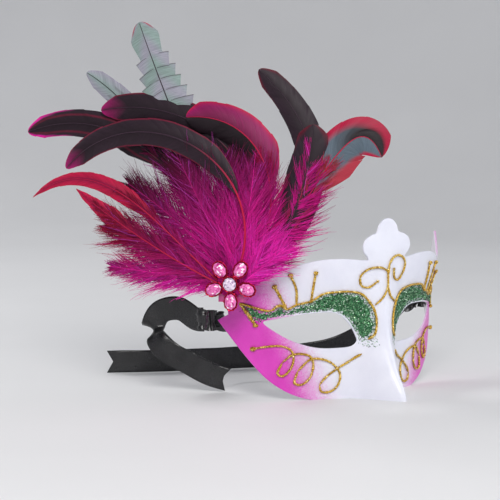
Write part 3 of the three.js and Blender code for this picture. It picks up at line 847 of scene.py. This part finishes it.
def in_plume(left, up, out):
    left, up, out = np.broadcast_arrays(left, up, out)
    reach = np.hypot(left, up) / PLUME_REACH
    lean = out - PLUME_SWEEP * reach * reach
    flat = PLUME_ROOT + left[..., None] * PLUME_LEFT + lean[..., None] * PLUME_OUT
    return flat + up[..., None] * np.array([0.0, 0.0, 1.0])


class Curve:
    """A feather's shaft in the fan: places and directions by share of its length."""

    def __init__(self, points, count=260):
        p = np.asarray(points, float)
        t = np.linspace(0, 1, 600)[:, None]
        c = (1 - t) ** 3 * p[0] + 3 * (1 - t) ** 2 * t * p[1]
        c = c + 3 * (1 - t) * t * t * p[2] + t**3 * p[3]
        run = np.concatenate([[0], np.cumsum(np.linalg.norm(np.diff(c, axis=0), axis=1))])
        at = np.linspace(0, run[-1], count)
        self.length = run[-1]
        self.stations = np.linspace(0, 1, count)
        self.line = np.stack([np.interp(at, run, c[:, i]) for i in range(2)], 1)
        way = np.gradient(self.line, axis=0)
        self.way = way / np.linalg.norm(way, axis=1, keepdims=True)

    def at(self, s):
        return np.stack([np.interp(s, self.stations, self.line[:, i]) for i in range(2)], -1)

    def along(self, s):
        return np.stack([np.interp(s, self.stations, self.way[:, i]) for i in range(2)], -1)


def swell(s, start, end, power):
    return np.sin(np.pi * np.clip((s - start) / (end - start), 0, 1)) ** power


BARRED_HEAD = 0.86  # share of the barred feather's length where its steps end in a round head


def vane_width(shape, s):
    """Half-width as a share of the widest, along the shaft, with a rounded tip."""
    if shape == "coque":
        v = swell(s, 0.12, 1.13, 0.5)
    elif shape == "barred":
        v = np.interp(s, [0.45, 0.6, 0.84, 0.87, 0.93, 1.0], [1.0, 0.95, 0.62, 0.44, 0.55, 0.5])
    else:
        v = swell(s, 0.08, 1.03, 1.0)
    return v * np.sqrt(np.clip((1 - s) / 0.055, 0, 1))


# Vanes: how far a barb rakes forward, as a share of the half-width; how long a run of hooked
# barbs is in mm; how far runs part at the edge in mm; and how much the vane cups backwards.
VANES = {
    "coque": dict(rake=1.1, run=9.0, part=0.5, cup=0.22),
    "barred": dict(rake=-0.2, run=8.2, part=0.35, cup=0.10),
    "hackle": dict(rake=1.9, run=3.0, part=0.9, cup=0.25),
}
ROW_STEP = 0.6
RUN_LAP = 1.3  # how far each run goes under the next
COLUMNS = 9


def blend(a, b, k):
    k = np.clip(k, 0, 1)[..., None]
    return a * (1 - k) + b * k


def vane_tint(palette, side, s, u):
    """Colour at s along the shaft and u from shaft to edge. side is 1 on the shaft's right."""
    s, u = np.broadcast_arrays(s, u)
    if palette == "barred":
        c = blend(LILAC, GREY_GREEN, 0.6 + 0.5 * np.sin(s * 40 + u * 3))
        return blend(c, RED * 0.8, (s - 0.955) * 40 * (u > 0.75))
    if palette == "lilac":
        c = blend(GREY_GREEN, LILAC, u)
        return blend(c, SMOKE, (0.12 - np.abs(u - 0.45)) * 5 * (s < 0.9))
    if palette == "red":
        return blend(blend(CRIMSON, RED, u * 1.2), WINE, (0.35 - u) * 2)
    if palette == "crimson":
        inner = blend(DARK, MAGENTA * 0.8, (0.72 - s) * 5)
        outer = blend(blend(WINE, MAGENTA * 0.7, u), RED, (u - 0.84) * 8)
        return outer if side > 0 else inner
    c = blend(DARK, SMOKE, 0.35 + 0.65 * u)
    if palette == "rimmed":
        c = blend(c, CRIMSON, 1 - np.abs(u - 0.58) * 14)
        return blend(c, PINK * 0.9, (u - 0.78) * 12 + (s - 0.96) * 20)
    if palette == "eyed":
        if side < 0:
            c = blend(SLATE, DARK, (s - 0.80) * 9)
            return blend(c, RED * 0.8, (u - 0.66) * 6)
        c = blend(SLATE, SALMON, (0.80 - s) * 16 + (u - 0.5) * 5)
        return blend(c, RED * 0.8, (u - 0.8) * 8 + (s - 0.95) * 20)
    if palette == "maroon":
        return blend(c, CRIMSON * 0.4, (u - 0.85) * 5 + (s - 0.92) * 8)
    c = blend(c, CRIMSON, (u - 0.92) * 8)
    return blend(c, MAGENTA * 0.9, (s - 0.945) * 16 * (0.3 + u))


class Pile:
    """Vertices, faces, tints and lies gathered for one piece."""

    def __init__(self):
        self.verts, self.faces, self.tints, self.lies = [], [], [], []
        self.count = 0

    def add(self, verts, faces, tints, lies=None):
        self.verts.append(verts)
        self.faces.append(faces + self.count)
        self.tints.append(tints)
        self.lies.append(np.zeros_like(verts) if lies is None else lies)
        self.count += len(verts)

    def piece(self, name, material, smooth):
        return mesh_piece(
            name,
            to_row(np.concatenate(self.verts)),
            np.concatenate(self.faces),
            material,
            np.clip(np.concatenate(self.tints), 0, 1),
            smooth=smooth,
            lie=np.concatenate(self.lies),
        )


def vane_runs(rng, shape, length, start):
    """Where each run of hooked barbs starts and ends, and whether it stands apart as a step."""
    stepped = shape == "barred"
    step = VANES[shape]["run"] / length
    stop = BARRED_HEAD if stepped else 1.0
    runs = []
    s = start
    while s < stop:
        end = s + step * (1 if stepped else rng.uniform(0.5, 1.6))
        end = stop if end + 0.4 * step > stop else end
        runs.append((s, end, stepped))
        s = end
    if stepped:
        runs.append((BARRED_HEAD, 1.0, False))
    return runs


def side_of(way, side):
    return np.stack([-way[:, 1], way[:, 0]], -1) * side


def add_run(pile, rng, curve, shape, width, palette, out_at, start, side, run):
    """One run of barbs as a curved sheet from the shaft to the edge."""
    s, end, stepped = run
    style = VANES[shape]
    lap = 0 if stepped else RUN_LAP / curve.length
    rows = max(4, int((end - s) * curve.length / ROW_STEP) + 2)
    edge = np.linspace(s, min(end + lap, 1.0), rows)
    share = (edge - s) / (edge[-1] - s)
    half = vane_width(shape, edge) * width / 2
    if stepped:
        middle = vane_width(shape, np.array((s + end) / 2)) * width / 2
        half = middle * (0.82 + 0.26 * share)
    elif shape != "barred":
        half = half * np.sqrt(np.clip((edge - start) / 0.14, 0.01, 1))
    half = half * rng.uniform(0.97, 1.03)
    rake = style["rake"] * half
    root = np.maximum(edge - rake / curve.length, start * 0.9)
    r, way = curve.at(root), curve.along(root)
    tip_way = curve.along(edge)
    parting = rng.normal(0, style["part"]) * (rng.random() < 0.3) * np.minimum(half / 4, 1)
    e = curve.at(edge) + side_of(tip_way, side) * half[:, None] + tip_way * parting[:, None]
    c = r + side_of(way, side) * (half * 0.55)[:, None] + way * (rake * 0.25)[:, None]
    u = np.linspace(0, 1, COLUMNS)[None]
    k = u[..., None]
    path = (1 - k) ** 2 * r[:, None] + 2 * (1 - k) * k * c[:, None] + k * k * e[:, None]
    loft = -style["cup"] * half[:, None] * u * u + rng.normal(0, 0.2) * u
    loft = loft + 0.35 * np.sin(share * np.pi)[:, None] * u
    verts = in_plume(path[..., 0], path[..., 1], out_at + loft).reshape(-1, 3)
    tint = vane_tint(palette, side, edge[:, None], u) * rng.uniform(0.88, 1.1)
    if stepped:
        line = np.clip(1 - np.minimum(share, 1 - share) * len(share) / 1.2, 0, 1)[:, None]
        tint = blend(tint, SMOKE, line * (u > 0.05))
    lies = np.zeros((len(edge), COLUMNS, 3))
    lies[..., 0] = (root * curve.length)[:, None] + side * 300
    lies[..., 1] = half[:, None] * u
    faces = strip_faces(len(edge), COLUMNS)
    pile.add(verts, faces, tint.reshape(-1, 3), lies.reshape(-1, 3))


def add_vane(pile, rng, curve, shape, width, palette, out_at, start):
    """Both halves of a vane, each in runs of hooked barbs that part a little at the edge."""
    for side in (-1.0, 1.0):
        for run in vane_runs(rng, shape, curve.length, start):
            add_run(pile, rng, curve, shape, width, palette, out_at, start, side, run)


STRAND_PARTS = 9
TUFT_WAVES = ((0.5, 3.1), (0.35, 1.7), (0.3, 0.9))  # strength, and length along the shaft


def tuft_at(rng, along):
    """How strands gather into tufts along the shaft, from about -1 to 1."""
    phases = rng.uniform(0, 6.3, 3)
    return sum(a * np.sin(along / w + f) for (a, w), f in zip(TUFT_WAVES, phases))


def strand_paths(rng, curve, s, length, tuft, share, side, lean, u):
    """Each strand's line in the fan, and its heading at each point of it."""
    count = len(s)
    way = curve.along(s)
    heading = np.arctan2(way[:, 1], way[:, 0])[:, None]
    angle = np.radians(lean) * (1 - 0.45 * share)[:, None] * (1 - 0.45 * u)
    angle = angle + (0.14 * tuft + 0.10 * rng.standard_normal(count))[:, None] * (0.3 + u)
    angle = angle + 0.10 * rng.standard_normal((count, STRAND_PARTS + 1))
    head = heading + side * angle
    path = np.zeros((count, STRAND_PARTS + 1, 2))
    move = np.stack([np.cos(head[:, :-1]), np.sin(head[:, :-1])], -1)
    path[:, 1:] = np.cumsum(move * (length / STRAND_PARTS)[:, None, None], axis=1)
    return path + curve.at(s)[:, None], head


def strand_tints(rng, bright, deep, path, tuft, loft, u):
    """Deeper away from the root, with painted shade darkening strands that lie low in a tuft, a few
    violet strands as a painted sheen, and a few dark strands.
    """
    count = len(path)
    away = np.hypot(path[..., 0], path[..., 1])
    tint = blend(bright, deep, (away - 34) / 56 + 0.16 * tuft[:, None])
    # painted shade: strands that stand out of their tuft stay bright and those that lie low in it
    # are darkened
    painted_lift_shade = np.clip(0.5 + 0.5 * tuft[:, None] + 0.15 * loft, 0, 1)
    mood = rng.random(count)[:, None]
    # painted sheen: about one strand in ten is blended towards violet
    tint = blend(tint, VIOLET_SHEEN, (mood > 0.9) * 0.55 * np.ones_like(away))
    tint = blend(tint, deep * 0.6, (mood < 0.2) * 0.7 * (1 - 0.5 * u))
    return tint * (0.8 + 0.4 * rng.random((count, 1, 1))) * (0.62 + 0.5 * painted_lift_shade[..., None])


def add_down(pile, rng, curve, colours, out_at, spread, reach, lean, sides, strand):
    """Loose strands on the sides of the shaft, in soft tufts. strand is their pitch and width."""
    pitch, fine = strand
    u = np.linspace(0, 1, STRAND_PARTS + 1)[None]
    for side in sides:
        count = int((spread[1] - spread[0]) * curve.length / pitch)
        s = np.sort(rng.uniform(spread[0], spread[1], count))
        share = (s - spread[0]) / (spread[1] - spread[0])
        body = np.sin(np.pi * np.clip(share * 0.86 + 0.12, 0, 1)) ** 0.6
        tuft = tuft_at(rng, s * curve.length)
        length = reach * body * (1 + 0.22 * tuft)
        length = length * (rng.uniform(0.6, 1.1, count) + 0.5 * rng.random(count) ** 5)
        path, head = strand_paths(rng, curve, s, length, tuft, share, side, lean, u)
        across = np.stack([-np.sin(head), np.cos(head)], -1)
        half = fine / 2 * (1 - 0.8 * u**1.5) * rng.uniform(0.5, 1.4, (count, 1))
        rise = (0.16 * tuft + 0.10 * rng.standard_normal(count))[:, None]
        loft = rise * length[:, None] * u**1.2
        stray = 0.25 * rng.standard_normal((count, STRAND_PARTS + 1)) * u
        out = out_at + np.clip(loft, -6, 7) + stray
        twist = half * 0.45
        a, b = path + across * half[..., None], path - across * half[..., None]
        va = in_plume(a[..., 0], a[..., 1], out + twist)
        vb = in_plume(b[..., 0], b[..., 1], out - twist)
        tint = strand_tints(rng, *colours, path, tuft, loft, u)
        verts = np.stack([va, vb], 2).reshape(-1, 3)
        step = np.arange(STRAND_PARTS)[None]
        base = (np.arange(count)[:, None] * (STRAND_PARTS + 1) + step) * 2
        faces = np.stack([base, base + 1, base + 3, base + 2], -1).reshape(-1, 4)
        pile.add(verts, faces, np.repeat(tint.reshape(-1, 3), 2, axis=0))


def add_shaft(pile, curve, out_at, thick, low, high):
    """The quill: a tapered six-sided tube, from one colour at the root to another at the tip."""
    s = np.linspace(0, 0.995, 60)
    p, d = curve.at(s), curve.along(s)
    radius = thick * (1 - 0.82 * s)
    rings = []
    for j in range(7):
        a = 2 * np.pi * j / 6
        left = p[:, 0] - d[:, 1] * np.cos(a) * radius
        up = p[:, 1] + d[:, 0] * np.cos(a) * radius
        rings.append(in_plume(left, up, out_at + 0.2 + np.sin(a) * radius))
    tint = blend(low, high, (s - 0.3) * 4)
    verts = np.stack(rings, 1).reshape(-1, 3)
    pile.add(verts, strip_faces(len(s), 7), np.repeat(tint, 7, axis=0))


# Where each feather's vane starts as a share of its length, and its down: its spread along the
# shaft, reach in mm, lean in degrees and the sides that it grows on.
BOTH = (-1, 1)
BUILD = {
    "feather_dark_tall_left": (0.45, [((0.12, 0.55), 14, 45, BOTH)]),
    "feather_dark_tall_arch": (0.34, [((0.10, 0.45), 14, 45, BOTH)]),
    "feather_lilac": (0.62, [((0.12, 0.7), 12, 40, BOTH)]),
    "feather_barred": (0.50, [((0.12, 0.55), 14, 45, BOTH)]),
    "feather_dark_tall_right": (0.48, [((0.12, 0.6), 16, 45, BOTH)]),
    "feather_curled": (0.54, [((0.30, 0.70), 17, 34, BOTH)]),
    "feather_dark_right": (0.30, [((0.16, 0.78), 25, 70, (1,)), ((0.5, 0.9), 15, 34, (-1,))]),
    "feather_crimson_arch": (0.48, [((0.18, 0.62), 18, 40, BOTH)]),
    "hackle_long": (0.40, [((0.10, 0.6), 13, 28, BOTH)]),
    "hackle_crimson": (0.62, [((0.10, 0.85), 19, 34, BOTH)]),
    "feather_front_arch": (0.31, []),
}

# Share of the shaft where the down stops on the pieces that leave a dark feather in view.
FLUFF_END = {"fluff_right": 0.62, "fluff_upper_right": 0.86, "fluff_short_right": 0.9}

# How far apart the strands of down are, and how wide they are: a whole piece of it, and the little
# below a vane.
FLUFF_PITCH, FLUFF_STRAND = 0.13, 0.42
TUFT_PITCH, TUFT_STRAND = 0.2, 0.5


def feather_piece(order, name, shape, width, points, palette):
    rng = np.random.default_rng(100 + order)
    curve = Curve(points)
    out_at = FIRST_LAYER + order * LAYER_STEP
    colours = PALETTES[palette][:2]
    quill = PALETTES[palette][2:]
    made = []
    pile = Pile()
    if shape == "fluff":
        spread = (0.02, FLUFF_END.get(name, 0.97))
        reach = width * 0.86
        strand = (FLUFF_PITCH, FLUFF_STRAND)
        add_down(pile, rng, curve, colours, out_at, spread, reach, 44, BOTH, strand)
        add_shaft(pile, curve, out_at, 0.6, *quill)
        made.append(pile.piece(name + "_down", DOWN, False))
    else:
        vane_start, down = BUILD[name]
        add_vane(pile, rng, curve, shape, width, palette, out_at, vane_start)
        thick = 0.85 if shape != "hackle" else 0.6
        add_shaft(pile, curve, out_at, thick, *quill)
        made.append(pile.piece(name + "_vane", VANE, True))
        if down:
            pile = Pile()
            strand = (TUFT_PITCH, TUFT_STRAND)
            for spread, reach, lean, sides in down:
                add_down(
                    pile, rng, curve, colours, out_at - 0.2, spread, reach, lean, sides, strand
                )
            made.append(pile.piece(name + "_down", DOWN, False))
    for one in made:
        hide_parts(name)
    return made


PAD_OUT = 3.0
PAD_RADIUS = 13.0
PAD_THICKNESS = 1.2
PAD_UP = 2.0
PAD_TURNS = 73


def pad_piece():
    """The felt under the quills: a hand-cut disc with a soft edge and a slight crown."""
    turn = np.linspace(0, 2 * np.pi, PAD_TURNS)[None]
    cut = 1 + 0.014 * np.sin(5 * turn + 1) + 0.010 * np.sin(11 * turn)
    reach = np.concatenate([np.linspace(0, 0.97, 9), [1.0, 1.0], np.linspace(0.97, 0, 9)])
    rise = np.concatenate([np.zeros(9), [0.3, 0.7], np.ones(9)]) * PAD_THICKNESS
    crown = 0.2 * (1 - reach**2) * (rise > PAD_THICKNESS / 2)
    left = PAD_RADIUS * reach[:, None] * np.cos(turn) * cut
    up = PAD_UP + PAD_RADIUS * reach[:, None] * np.sin(turn) * cut
    verts = in_plume(left, up, PAD_OUT + (rise + crown)[:, None] + 0.05 * np.sin(left * 1.7))
    faces = strip_faces(len(reach), PAD_TURNS)
    made = mesh_piece("feather_pad_felt", to_row(verts.reshape(-1, 3)), faces, FELT)
    welded = bmesh.new()
    welded.from_mesh(made.data)
    bmesh.ops.remove_doubles(welded, verts=welded.verts, dist=1e-6)
    welded.to_mesh(made.data)
    welded.free()
    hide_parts("feather_pad")


def feather_pieces():
    for order, (name, shape, width, points, palette) in enumerate(FEATHERS):
        for made in feather_piece(order, name, shape, width, points, palette):
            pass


# ------------------------------------------------------------------ the brooch
STACK_OUT = FIRST_LAYER + len(FEATHERS) * LAYER_STEP
BROOCH_OUT = STACK_OUT + 0.4
PLATE_THICKNESS = 0.7
BROOCH_RING = 11.4  # radius of the circle that the middles of the petals lie on
PETAL_LENGTH = 11.2
PETAL_WIDTH = 8.8
CENTRE_GEM = 9.4
CUP_MARGIN = 1.2
# the near-white of a painted glint on a facet
GLINT = np.array((0.98, 0.82, 0.94))


def brooch_point(x, y, h, left, up, turn):
    """A point of a brooch piece, made flat with its outer end on +y, put in its place."""
    c, s = math.cos(turn), math.sin(turn)
    right = x * c - y * s
    rise = x * s + y * c
    base = in_plume(np.array(0.0), np.array(0.0), np.array(float(h)))
    return base + PLUME_LEFT * (left - right) + np.array([0, 0, up + rise])


def pear_pull(y, length):
    """How much narrower or wider a petal is at y than an ellipse."""
    return 0.95 + 0.1 * min(y / length, 0.5)


# The rings of a stone's facets: radius as a share of its width, and height.
GEM_LEVELS = [(0.40, 0.9), (0.46, 1.5), (0.36, 2.3), (0.24, 2.85), (0.12, 3.05)]


def gem_piece(name, length, width, left, up, seat, turn, sides, light, deep, seed, is_pear):
    """A brilliant-cut stone: rings of staggered facets, each with its own tint as a painted
    reflection, a random mix of the pale and the deep colour, and about one in ten a painted
    near-white glint.
    """
    rng = np.random.default_rng(seed)
    verts, faces, tints = [], [], []

    def place(r, h, j, shift):
        a = 2 * math.pi * (j + shift) / sides
        x, y = r * math.cos(a) * width, r * math.sin(a) * length
        if is_pear:
            x *= pear_pull(y, length)
        return brooch_point(x, y, seat + h, left, up, turn)

    def facet(points):
        start = len(verts)
        verts.extend(points)
        faces.append(tuple(range(start, start + len(points))))
        # painted reflection: each facet gets a random mix of the pale and the deep colour, and
        # about one in ten is painted near-white as a glint
        k = rng.random() ** 0.8
        tint = light * k + deep * (1 - k)
        if rng.random() < 0.1:
            tint = GLINT
        tints.extend([tint] * len(points))

    for level in range(len(GEM_LEVELS) - 1):
        (r0, h0), (r1, h1) = GEM_LEVELS[level], GEM_LEVELS[level + 1]
        s0, s1 = level % 2 / 2, (level + 1) % 2 / 2
        for j in range(sides):
            a, b = place(r0, h0, j, s0), place(r0, h0, j + 1, s0)
            c, d = place(r1, h1, j + 1, s1), place(r1, h1, j, s1)
            if s0 == 0:
                facet([a, b, d])
                facet([b, c, d])
            else:
                facet([a, b, c])
                facet([a, c, d])
    r, h = GEM_LEVELS[-1]
    shift = (len(GEM_LEVELS) - 1) % 2 / 2
    facet([place(r, h, j, shift) for j in range(sides)])
    made = mesh_piece(
        name + "_cut", to_row(np.array(verts)), faces, GEM, np.array(tints), smooth=False
    )
    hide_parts(name)
    return made


def cup_piece(name, length, width, left, up, seat, turn, is_pear, seed):
    """A crimped foil cup with a raised, slightly uneven rim."""
    rng = np.random.default_rng(seed)
    sides = 40
    profile = [
        (0.0, 0.35), (0.36, 0.4), (0.42, 0.9), (0.455, 1.45), (0.485, 1.5), (0.50, 1.2),
        (0.47, 0.5), (0.40, 0.05), (0.0, 0.05),
    ]
    wave = 1 + 0.02 * rng.standard_normal(sides)
    verts = []
    for r, h in profile:
        for j in range(sides):
            a = 2 * math.pi * j / sides
            crimp = (1 + 0.03 * math.cos(10 * a)) * wave[j] if r > 0.4 else 1
            x, y = r * math.cos(a) * width * crimp, r * math.sin(a) * length * crimp
            if is_pear:
                x *= pear_pull(y, PETAL_LENGTH)
            verts.append(brooch_point(x, y, seat + h, left, up, turn))
    faces = ring_faces(len(profile), sides)
    made = mesh_piece(name + "_foil", to_row(np.array(verts)), faces, FOIL)
    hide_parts(name)
    return made


def brooch():
    seat = BROOCH_OUT + PLATE_THICKNESS + GAP
    # the pale and deep pinks that the petal facets mix between, as painted reflection
    light, deep = np.array((0.95, 0.24, 0.60)), np.array((0.48, 0.012, 0.20))
    for i in range(5):
        turn = math.radians(37 - 72 * i)
        left, up = BROOCH_RING * math.sin(turn), BROOCH_RING * math.cos(turn)
        length, width = PETAL_LENGTH + CUP_MARGIN, PETAL_WIDTH + CUP_MARGIN
        cup_piece(f"petal_cup_{i + 1}", length, width, left, up, seat, turn, True, i)
        gem = gem_piece(
            f"petal_gem_{i + 1}", PETAL_LENGTH, PETAL_WIDTH, left, up, seat + 0.5, turn, 9,
            light, deep, 50 + i, True,
        )
    wide = CENTRE_GEM
    cup_piece("centre_cup", wide + CUP_MARGIN, wide + CUP_MARGIN, 0, 0, seat + 1.7, 0, False, 9)
    # the centre stone's facets mix a pale lilac and a dark violet, as painted reflection
    gem = gem_piece(
        "centre_gem", wide, wide, 0, 0, seat + 2.2, 0, 12,
        np.array((0.84, 0.70, 0.86)), np.array((0.22, 0.11, 0.26)), 77, False,
    )


# ------------------------------------------------------------------ the ribbon ties
def knot_centre(side):
    edge = on_face(side * EDGE_X, TIE_Z, -SHELL_THICKNESS / 2)
    before = on_face(side * (EDGE_X - 2), TIE_Z, -SHELL_THICKNESS / 2)
    along = (edge - before) / np.linalg.norm(edge - before)
    return edge + along * (KNOT_RADIUS + 1.2)


def tie_route(side):
    """The same route points as the CAD tie: x, y, z and the lean of the band."""
    floor = RIBBON_WIDTH / 2 + 0.6 - TIE_Z
    if side < 0:
        route = [
            (-1.2, 6.2, 0, 0), (-3, 13, 0, 0), (-8, 24, 6, 0.1), (-16, 35, 3, 0.2),
            (-18.5, 40, -9, 0.1), (-11, 38, -22, -0.1), (4, 30, -33, -0.2), (17, 22, -41, 0),
            (26, 15, floor, 0),
        ]
    else:
        route = [
            (-1, 5.6, 0, 0), (-4, 14, 0, 0), (-14, 34, -22, 0), (-34, 52, floor + 6, 0),
            (-62, 68, floor, 0), (-96, 82, floor, 0), (-132, 96, floor, 0), (-164, 112, floor, 0),
            (-190, 128, floor, 0),
        ]
    return np.array(route, float) + [*knot_centre(side), 0]


RIBBON_THICKNESS = 0.4
FLOOR_GAP = 0.35  # the least height of the band's middle over the floor


def ribbon_piece(side, name, body):
    """A satin band with a soft cupping across it and long ripples along it."""
    rng = np.random.default_rng(5 + side)
    route = tie_route(side)
    p = smooth_path(route[:, :3], 1.6)
    t = np.linspace(0, 1, len(p))
    lean = np.interp(t, np.linspace(0, 1, len(route)), route[:, 3])
    along = unit(np.gradient(p, axis=0))
    level = unit(np.stack([-along[:, 1], along[:, 0], np.zeros(len(p))], 1))
    width = np.array([0, 0, 1.0]) * np.cos(lean)[:, None] + level * np.sin(lean)[:, None]
    width = unit(width - along * (width * along).sum(1, keepdims=True))
    across = np.cross(along, width)
    columns = np.linspace(-0.5, 0.5, 11)
    ripple = np.zeros(len(p))
    for wave in (3, 5, 9):
        ripple += rng.uniform(0.3, 0.8) * np.sin(t * wave * 2 * np.pi + rng.uniform(0, 6.3)) / 2
    ripple *= np.minimum(1, t * 8)
    rows = []
    for w in columns:
        cup = 1.1 * (0.25 - w * w) * 4 * np.sin(t * 7) * 0.5
        cup = cup + ripple * (0.5 + w)
        back = (0.5 - abs(w)) * 9.0 * np.clip((t - 0.97) / 0.03, 0, 1)
        q = p + width * (w * RIBBON_WIDTH) + across * cup[:, None]
        q = q - along * back[:, None]
        q[:, 2] = np.maximum(q[:, 2], FLOOR_GAP)
        rows.append(q)
    verts = np.stack(rows, 1).reshape(-1, 3)
    faces = strip_faces(len(p), len(columns))
    made = mesh_piece(name + "_satin", to_row(verts), faces, SATIN, body=body)
    skin = made.modifiers.new("thickness", "SOLIDIFY")
    skin.thickness = RIBBON_THICKNESS / 1000
    skin.offset = 0
    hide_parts(name)
    return made


EAR_TURNS = {-1: (205, 20), 1: (110, 170)}  # degrees from +x that each knot's ears point
EAR_LENGTH = 12.5
EAR_WIDTH = 7.0
ROLL_HEIGHT = 13.0


def add_lattice(pile, points):
    """Rows of points as a sheet of the pile."""
    rows, columns = points.shape[:2]
    blank = np.zeros((rows * columns, 3))
    pile.add(points.reshape(-1, 3), strip_faces(rows, columns), blank)


def knot_roll():
    """The gathered roll, narrow at its waist."""
    turn = np.linspace(0, 2 * np.pi, 33)[None]
    h = np.linspace(0, 1, 25)[:, None]
    waist = 0.66 + 0.34 * np.abs(2 * h - 1) ** 1.6
    pleat = 1 + 0.10 * np.cos(7 * turn + 3 * h) + 0.05 * np.cos(3 * turn - 5 * h)
    r = KNOT_RADIUS * waist * pleat
    return np.stack([r * np.cos(turn), r * np.sin(turn), (h - 0.5) * ROLL_HEIGHT + 0 * turn], -1)


def knot_ear(rng, ear, degrees):
    """One soft ear of ribbon, folded back on itself."""
    way = np.array([np.cos(np.radians(degrees)), np.sin(np.radians(degrees)), 0])
    square = np.array([-way[1], way[0], 0])
    t = np.linspace(0, 1, 41)[:, None]
    w = np.linspace(-1, 1, 15)[None]
    reach = EAR_LENGTH * np.sin(np.pi * t) ** 0.8 * (1 + 0.06 * np.sin(5 * w + ear))
    swing = EAR_WIDTH / 2 * np.sin(2 * np.pi * t) * (1 + 0.25 * w * (-1) ** ear)
    height = w * (2.6 + 4.4 * np.sin(np.pi * t)) + 2.5 * np.sin(np.pi * t) * (1 - 2 * ear)
    crease = 0.55 * np.sin(9 * w + 6 * t + rng.uniform(0, 6)) * np.sin(np.pi * t)
    loop = (2.2 + reach)[..., None] * way + (swing + crease)[..., None] * square
    return loop + height[..., None] * np.array([0, 0, 1.0])


def knot_strap(side):
    """The strap that is glued inside the shell."""
    x = np.linspace(EDGE_X + 1.5, EDGE_X - 9.5, 16)[:, None] * side
    w = np.linspace(-3, 3, 9)[None]
    lift = -SHELL_THICKNESS - 0.5 - 0.25 * np.cos(w * 1.1) + 0 * x
    return on_face(x + 0 * w, TIE_Z + w + 0 * x, lift)


def knot_piece(side, hand):
    """The knot: a gathered roll of the same ribbon with two soft ears, and its glued strap."""
    rng = np.random.default_rng(21 + side)
    centre = knot_centre(side)
    pile = Pile()
    add_lattice(pile, centre + knot_roll())
    for ear, degrees in enumerate(EAR_TURNS[side]):
        add_lattice(pile, centre + knot_ear(rng, ear, degrees))
    add_lattice(pile, knot_strap(side))
    made = pile.piece("ribbon_knot_" + hand + "_satin", SATIN, True)
    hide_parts("ribbon_knot_" + hand)
    return made


# ------------------------------------------------------------------ camera, light and floor
CAMERA_TURN = math.radians(-38.2)
CAMERA_RISE = math.radians(5.8)
CAMERA_DISTANCE = 1200.0  # from the plane through the nose tip that faces the camera
NOSE_RIGHT = 102.6  # the nose tip, right of the middle of the view
NOSE_DOWN = 100.0
LENS = 131.0
SENSOR = 36.0


def camera():
    a, e = CAMERA_TURN, CAMERA_RISE
    back = np.array([math.sin(a) * math.cos(e), -math.cos(a) * math.cos(e), math.sin(e)])
    right = np.array([math.cos(a), math.sin(a), 0.0])
    up = np.cross(back, right)
    place = to_row(back * CAMERA_DISTANCE - right * NOSE_RIGHT + up * NOSE_DOWN)
    data = bpy.data.cameras.new("camera")
    data.sensor_width = SENSOR
    data.lens = LENS
    data.clip_end = 20
    made = bpy.data.objects.new("camera", data)
    rotation = Matrix((right, up, back)).transposed().to_4x4()
    made.matrix_world = Matrix.Translation(Vector(place)) @ rotation
    bpy.context.scene.collection.objects.link(made)
    bpy.context.scene.camera = made


def area_light(name, place, aim, size, power, colour=(1, 1, 1)):
    data = bpy.data.lights.new(name, "AREA")
    data.shape = "RECTANGLE"
    data.size, data.size_y = size
    data.energy = power
    data.color = colour
    made = bpy.data.objects.new(name, data)
    way = Vector(aim) - Vector(place)
    made.rotation_euler = way.to_track_quat("-Z", "Y").to_euler()
    made.location = place
    bpy.context.scene.collection.objects.link(made)


# The studio is in metres.
STUDIO_RADIUS = 2.2
STUDIO_WALL = 1.1
STUDIO_TURNS = 97
MIDDLE = 0.03  # half the side of the square that fills the hole in the middle of the floor
MIDDLE_DROP = -2e-4


def studio():
    """A pale floor that curves up into a low wall all round, with soft lights inside it."""
    flat = STUDIO_RADIUS - STUDIO_WALL
    bend = np.linspace(0, np.pi / 2, 13)
    radii = np.concatenate([[0.02, 0.3, 0.7, flat], flat + STUDIO_WALL * np.sin(bend[1:])])
    rises = np.concatenate([[0, 0, 0, 0], STUDIO_WALL * (1 - np.cos(bend[1:]))])
    turn = np.linspace(0, 2 * np.pi, STUDIO_TURNS)
    r = radii[:, None]
    verts = np.stack([r * np.cos(turn), r * np.sin(turn), rises[:, None] + 0 * turn], -1)
    paper = Nodes("studio_paper", rough=0.6)
    stops = [(0.3, (0.74, 0.74, 0.75)), (0.7, (0.78, 0.78, 0.79))]
    paper.colour(paper.ramp(paper.noise(3), stops))
    faces = strip_faces(len(radii), STUDIO_TURNS)
    floor = mesh_piece("floor", verts.reshape(-1, 3), faces, paper.material, body=None)
    signs = [(-1, -1), (1, -1), (1, 1), (-1, 1)]
    corners = np.array([(MIDDLE * a, MIDDLE * b, MIDDLE_DROP) for a, b in signs])
    middle = mesh_piece("floor_middle", corners, [(0, 1, 2, 3)], paper.material, body=None)
    world = bpy.data.worlds.new("studio")
    world.use_nodes = True
    sky = world.node_tree.nodes["Background"]
    sky.inputs["Color"].default_value = (0.80, 0.82, 0.86, 1)
    sky.inputs["Strength"].default_value = 0.42
    bpy.context.scene.world = world
    aim = (0.0, 0.0, 0.1)
    area_light("key", (-0.75, -1.05, 0.95), aim, (0.6, 0.6), 15, (1.0, 0.985, 0.97))
    area_light("fill", (1.1, -0.8, 0.6), aim, (0.9, 0.9), 6, (0.95, 0.97, 1.0))
    area_light("rim", (-0.5, 1.1, 0.9), aim, (0.8, 0.5), 8)


# ------------------------------------------------------------------ the whole scene
camera()
shell_piece()
gold_pieces()
for one_side, one_hand in ((-1, "right"), (1, "left")):
    glitter_piece(one_side, one_hand)
    knot_piece(one_side, one_hand)
ribbon_piece(-1, "ribbon_tail_right", "right_tie")
ribbon_piece(1, "ribbon_tail_left", "left_tie")
pad_piece()
feather_pieces()
brooch()
for node, look in (("feather_collar", GLUE), ("brooch_plate", PLATE)):
    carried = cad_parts[node]
    carried.data.materials.clear()
    carried.data.materials.append(look)
studio()
bpy.context.scene.view_settings.view_transform = "Standard"
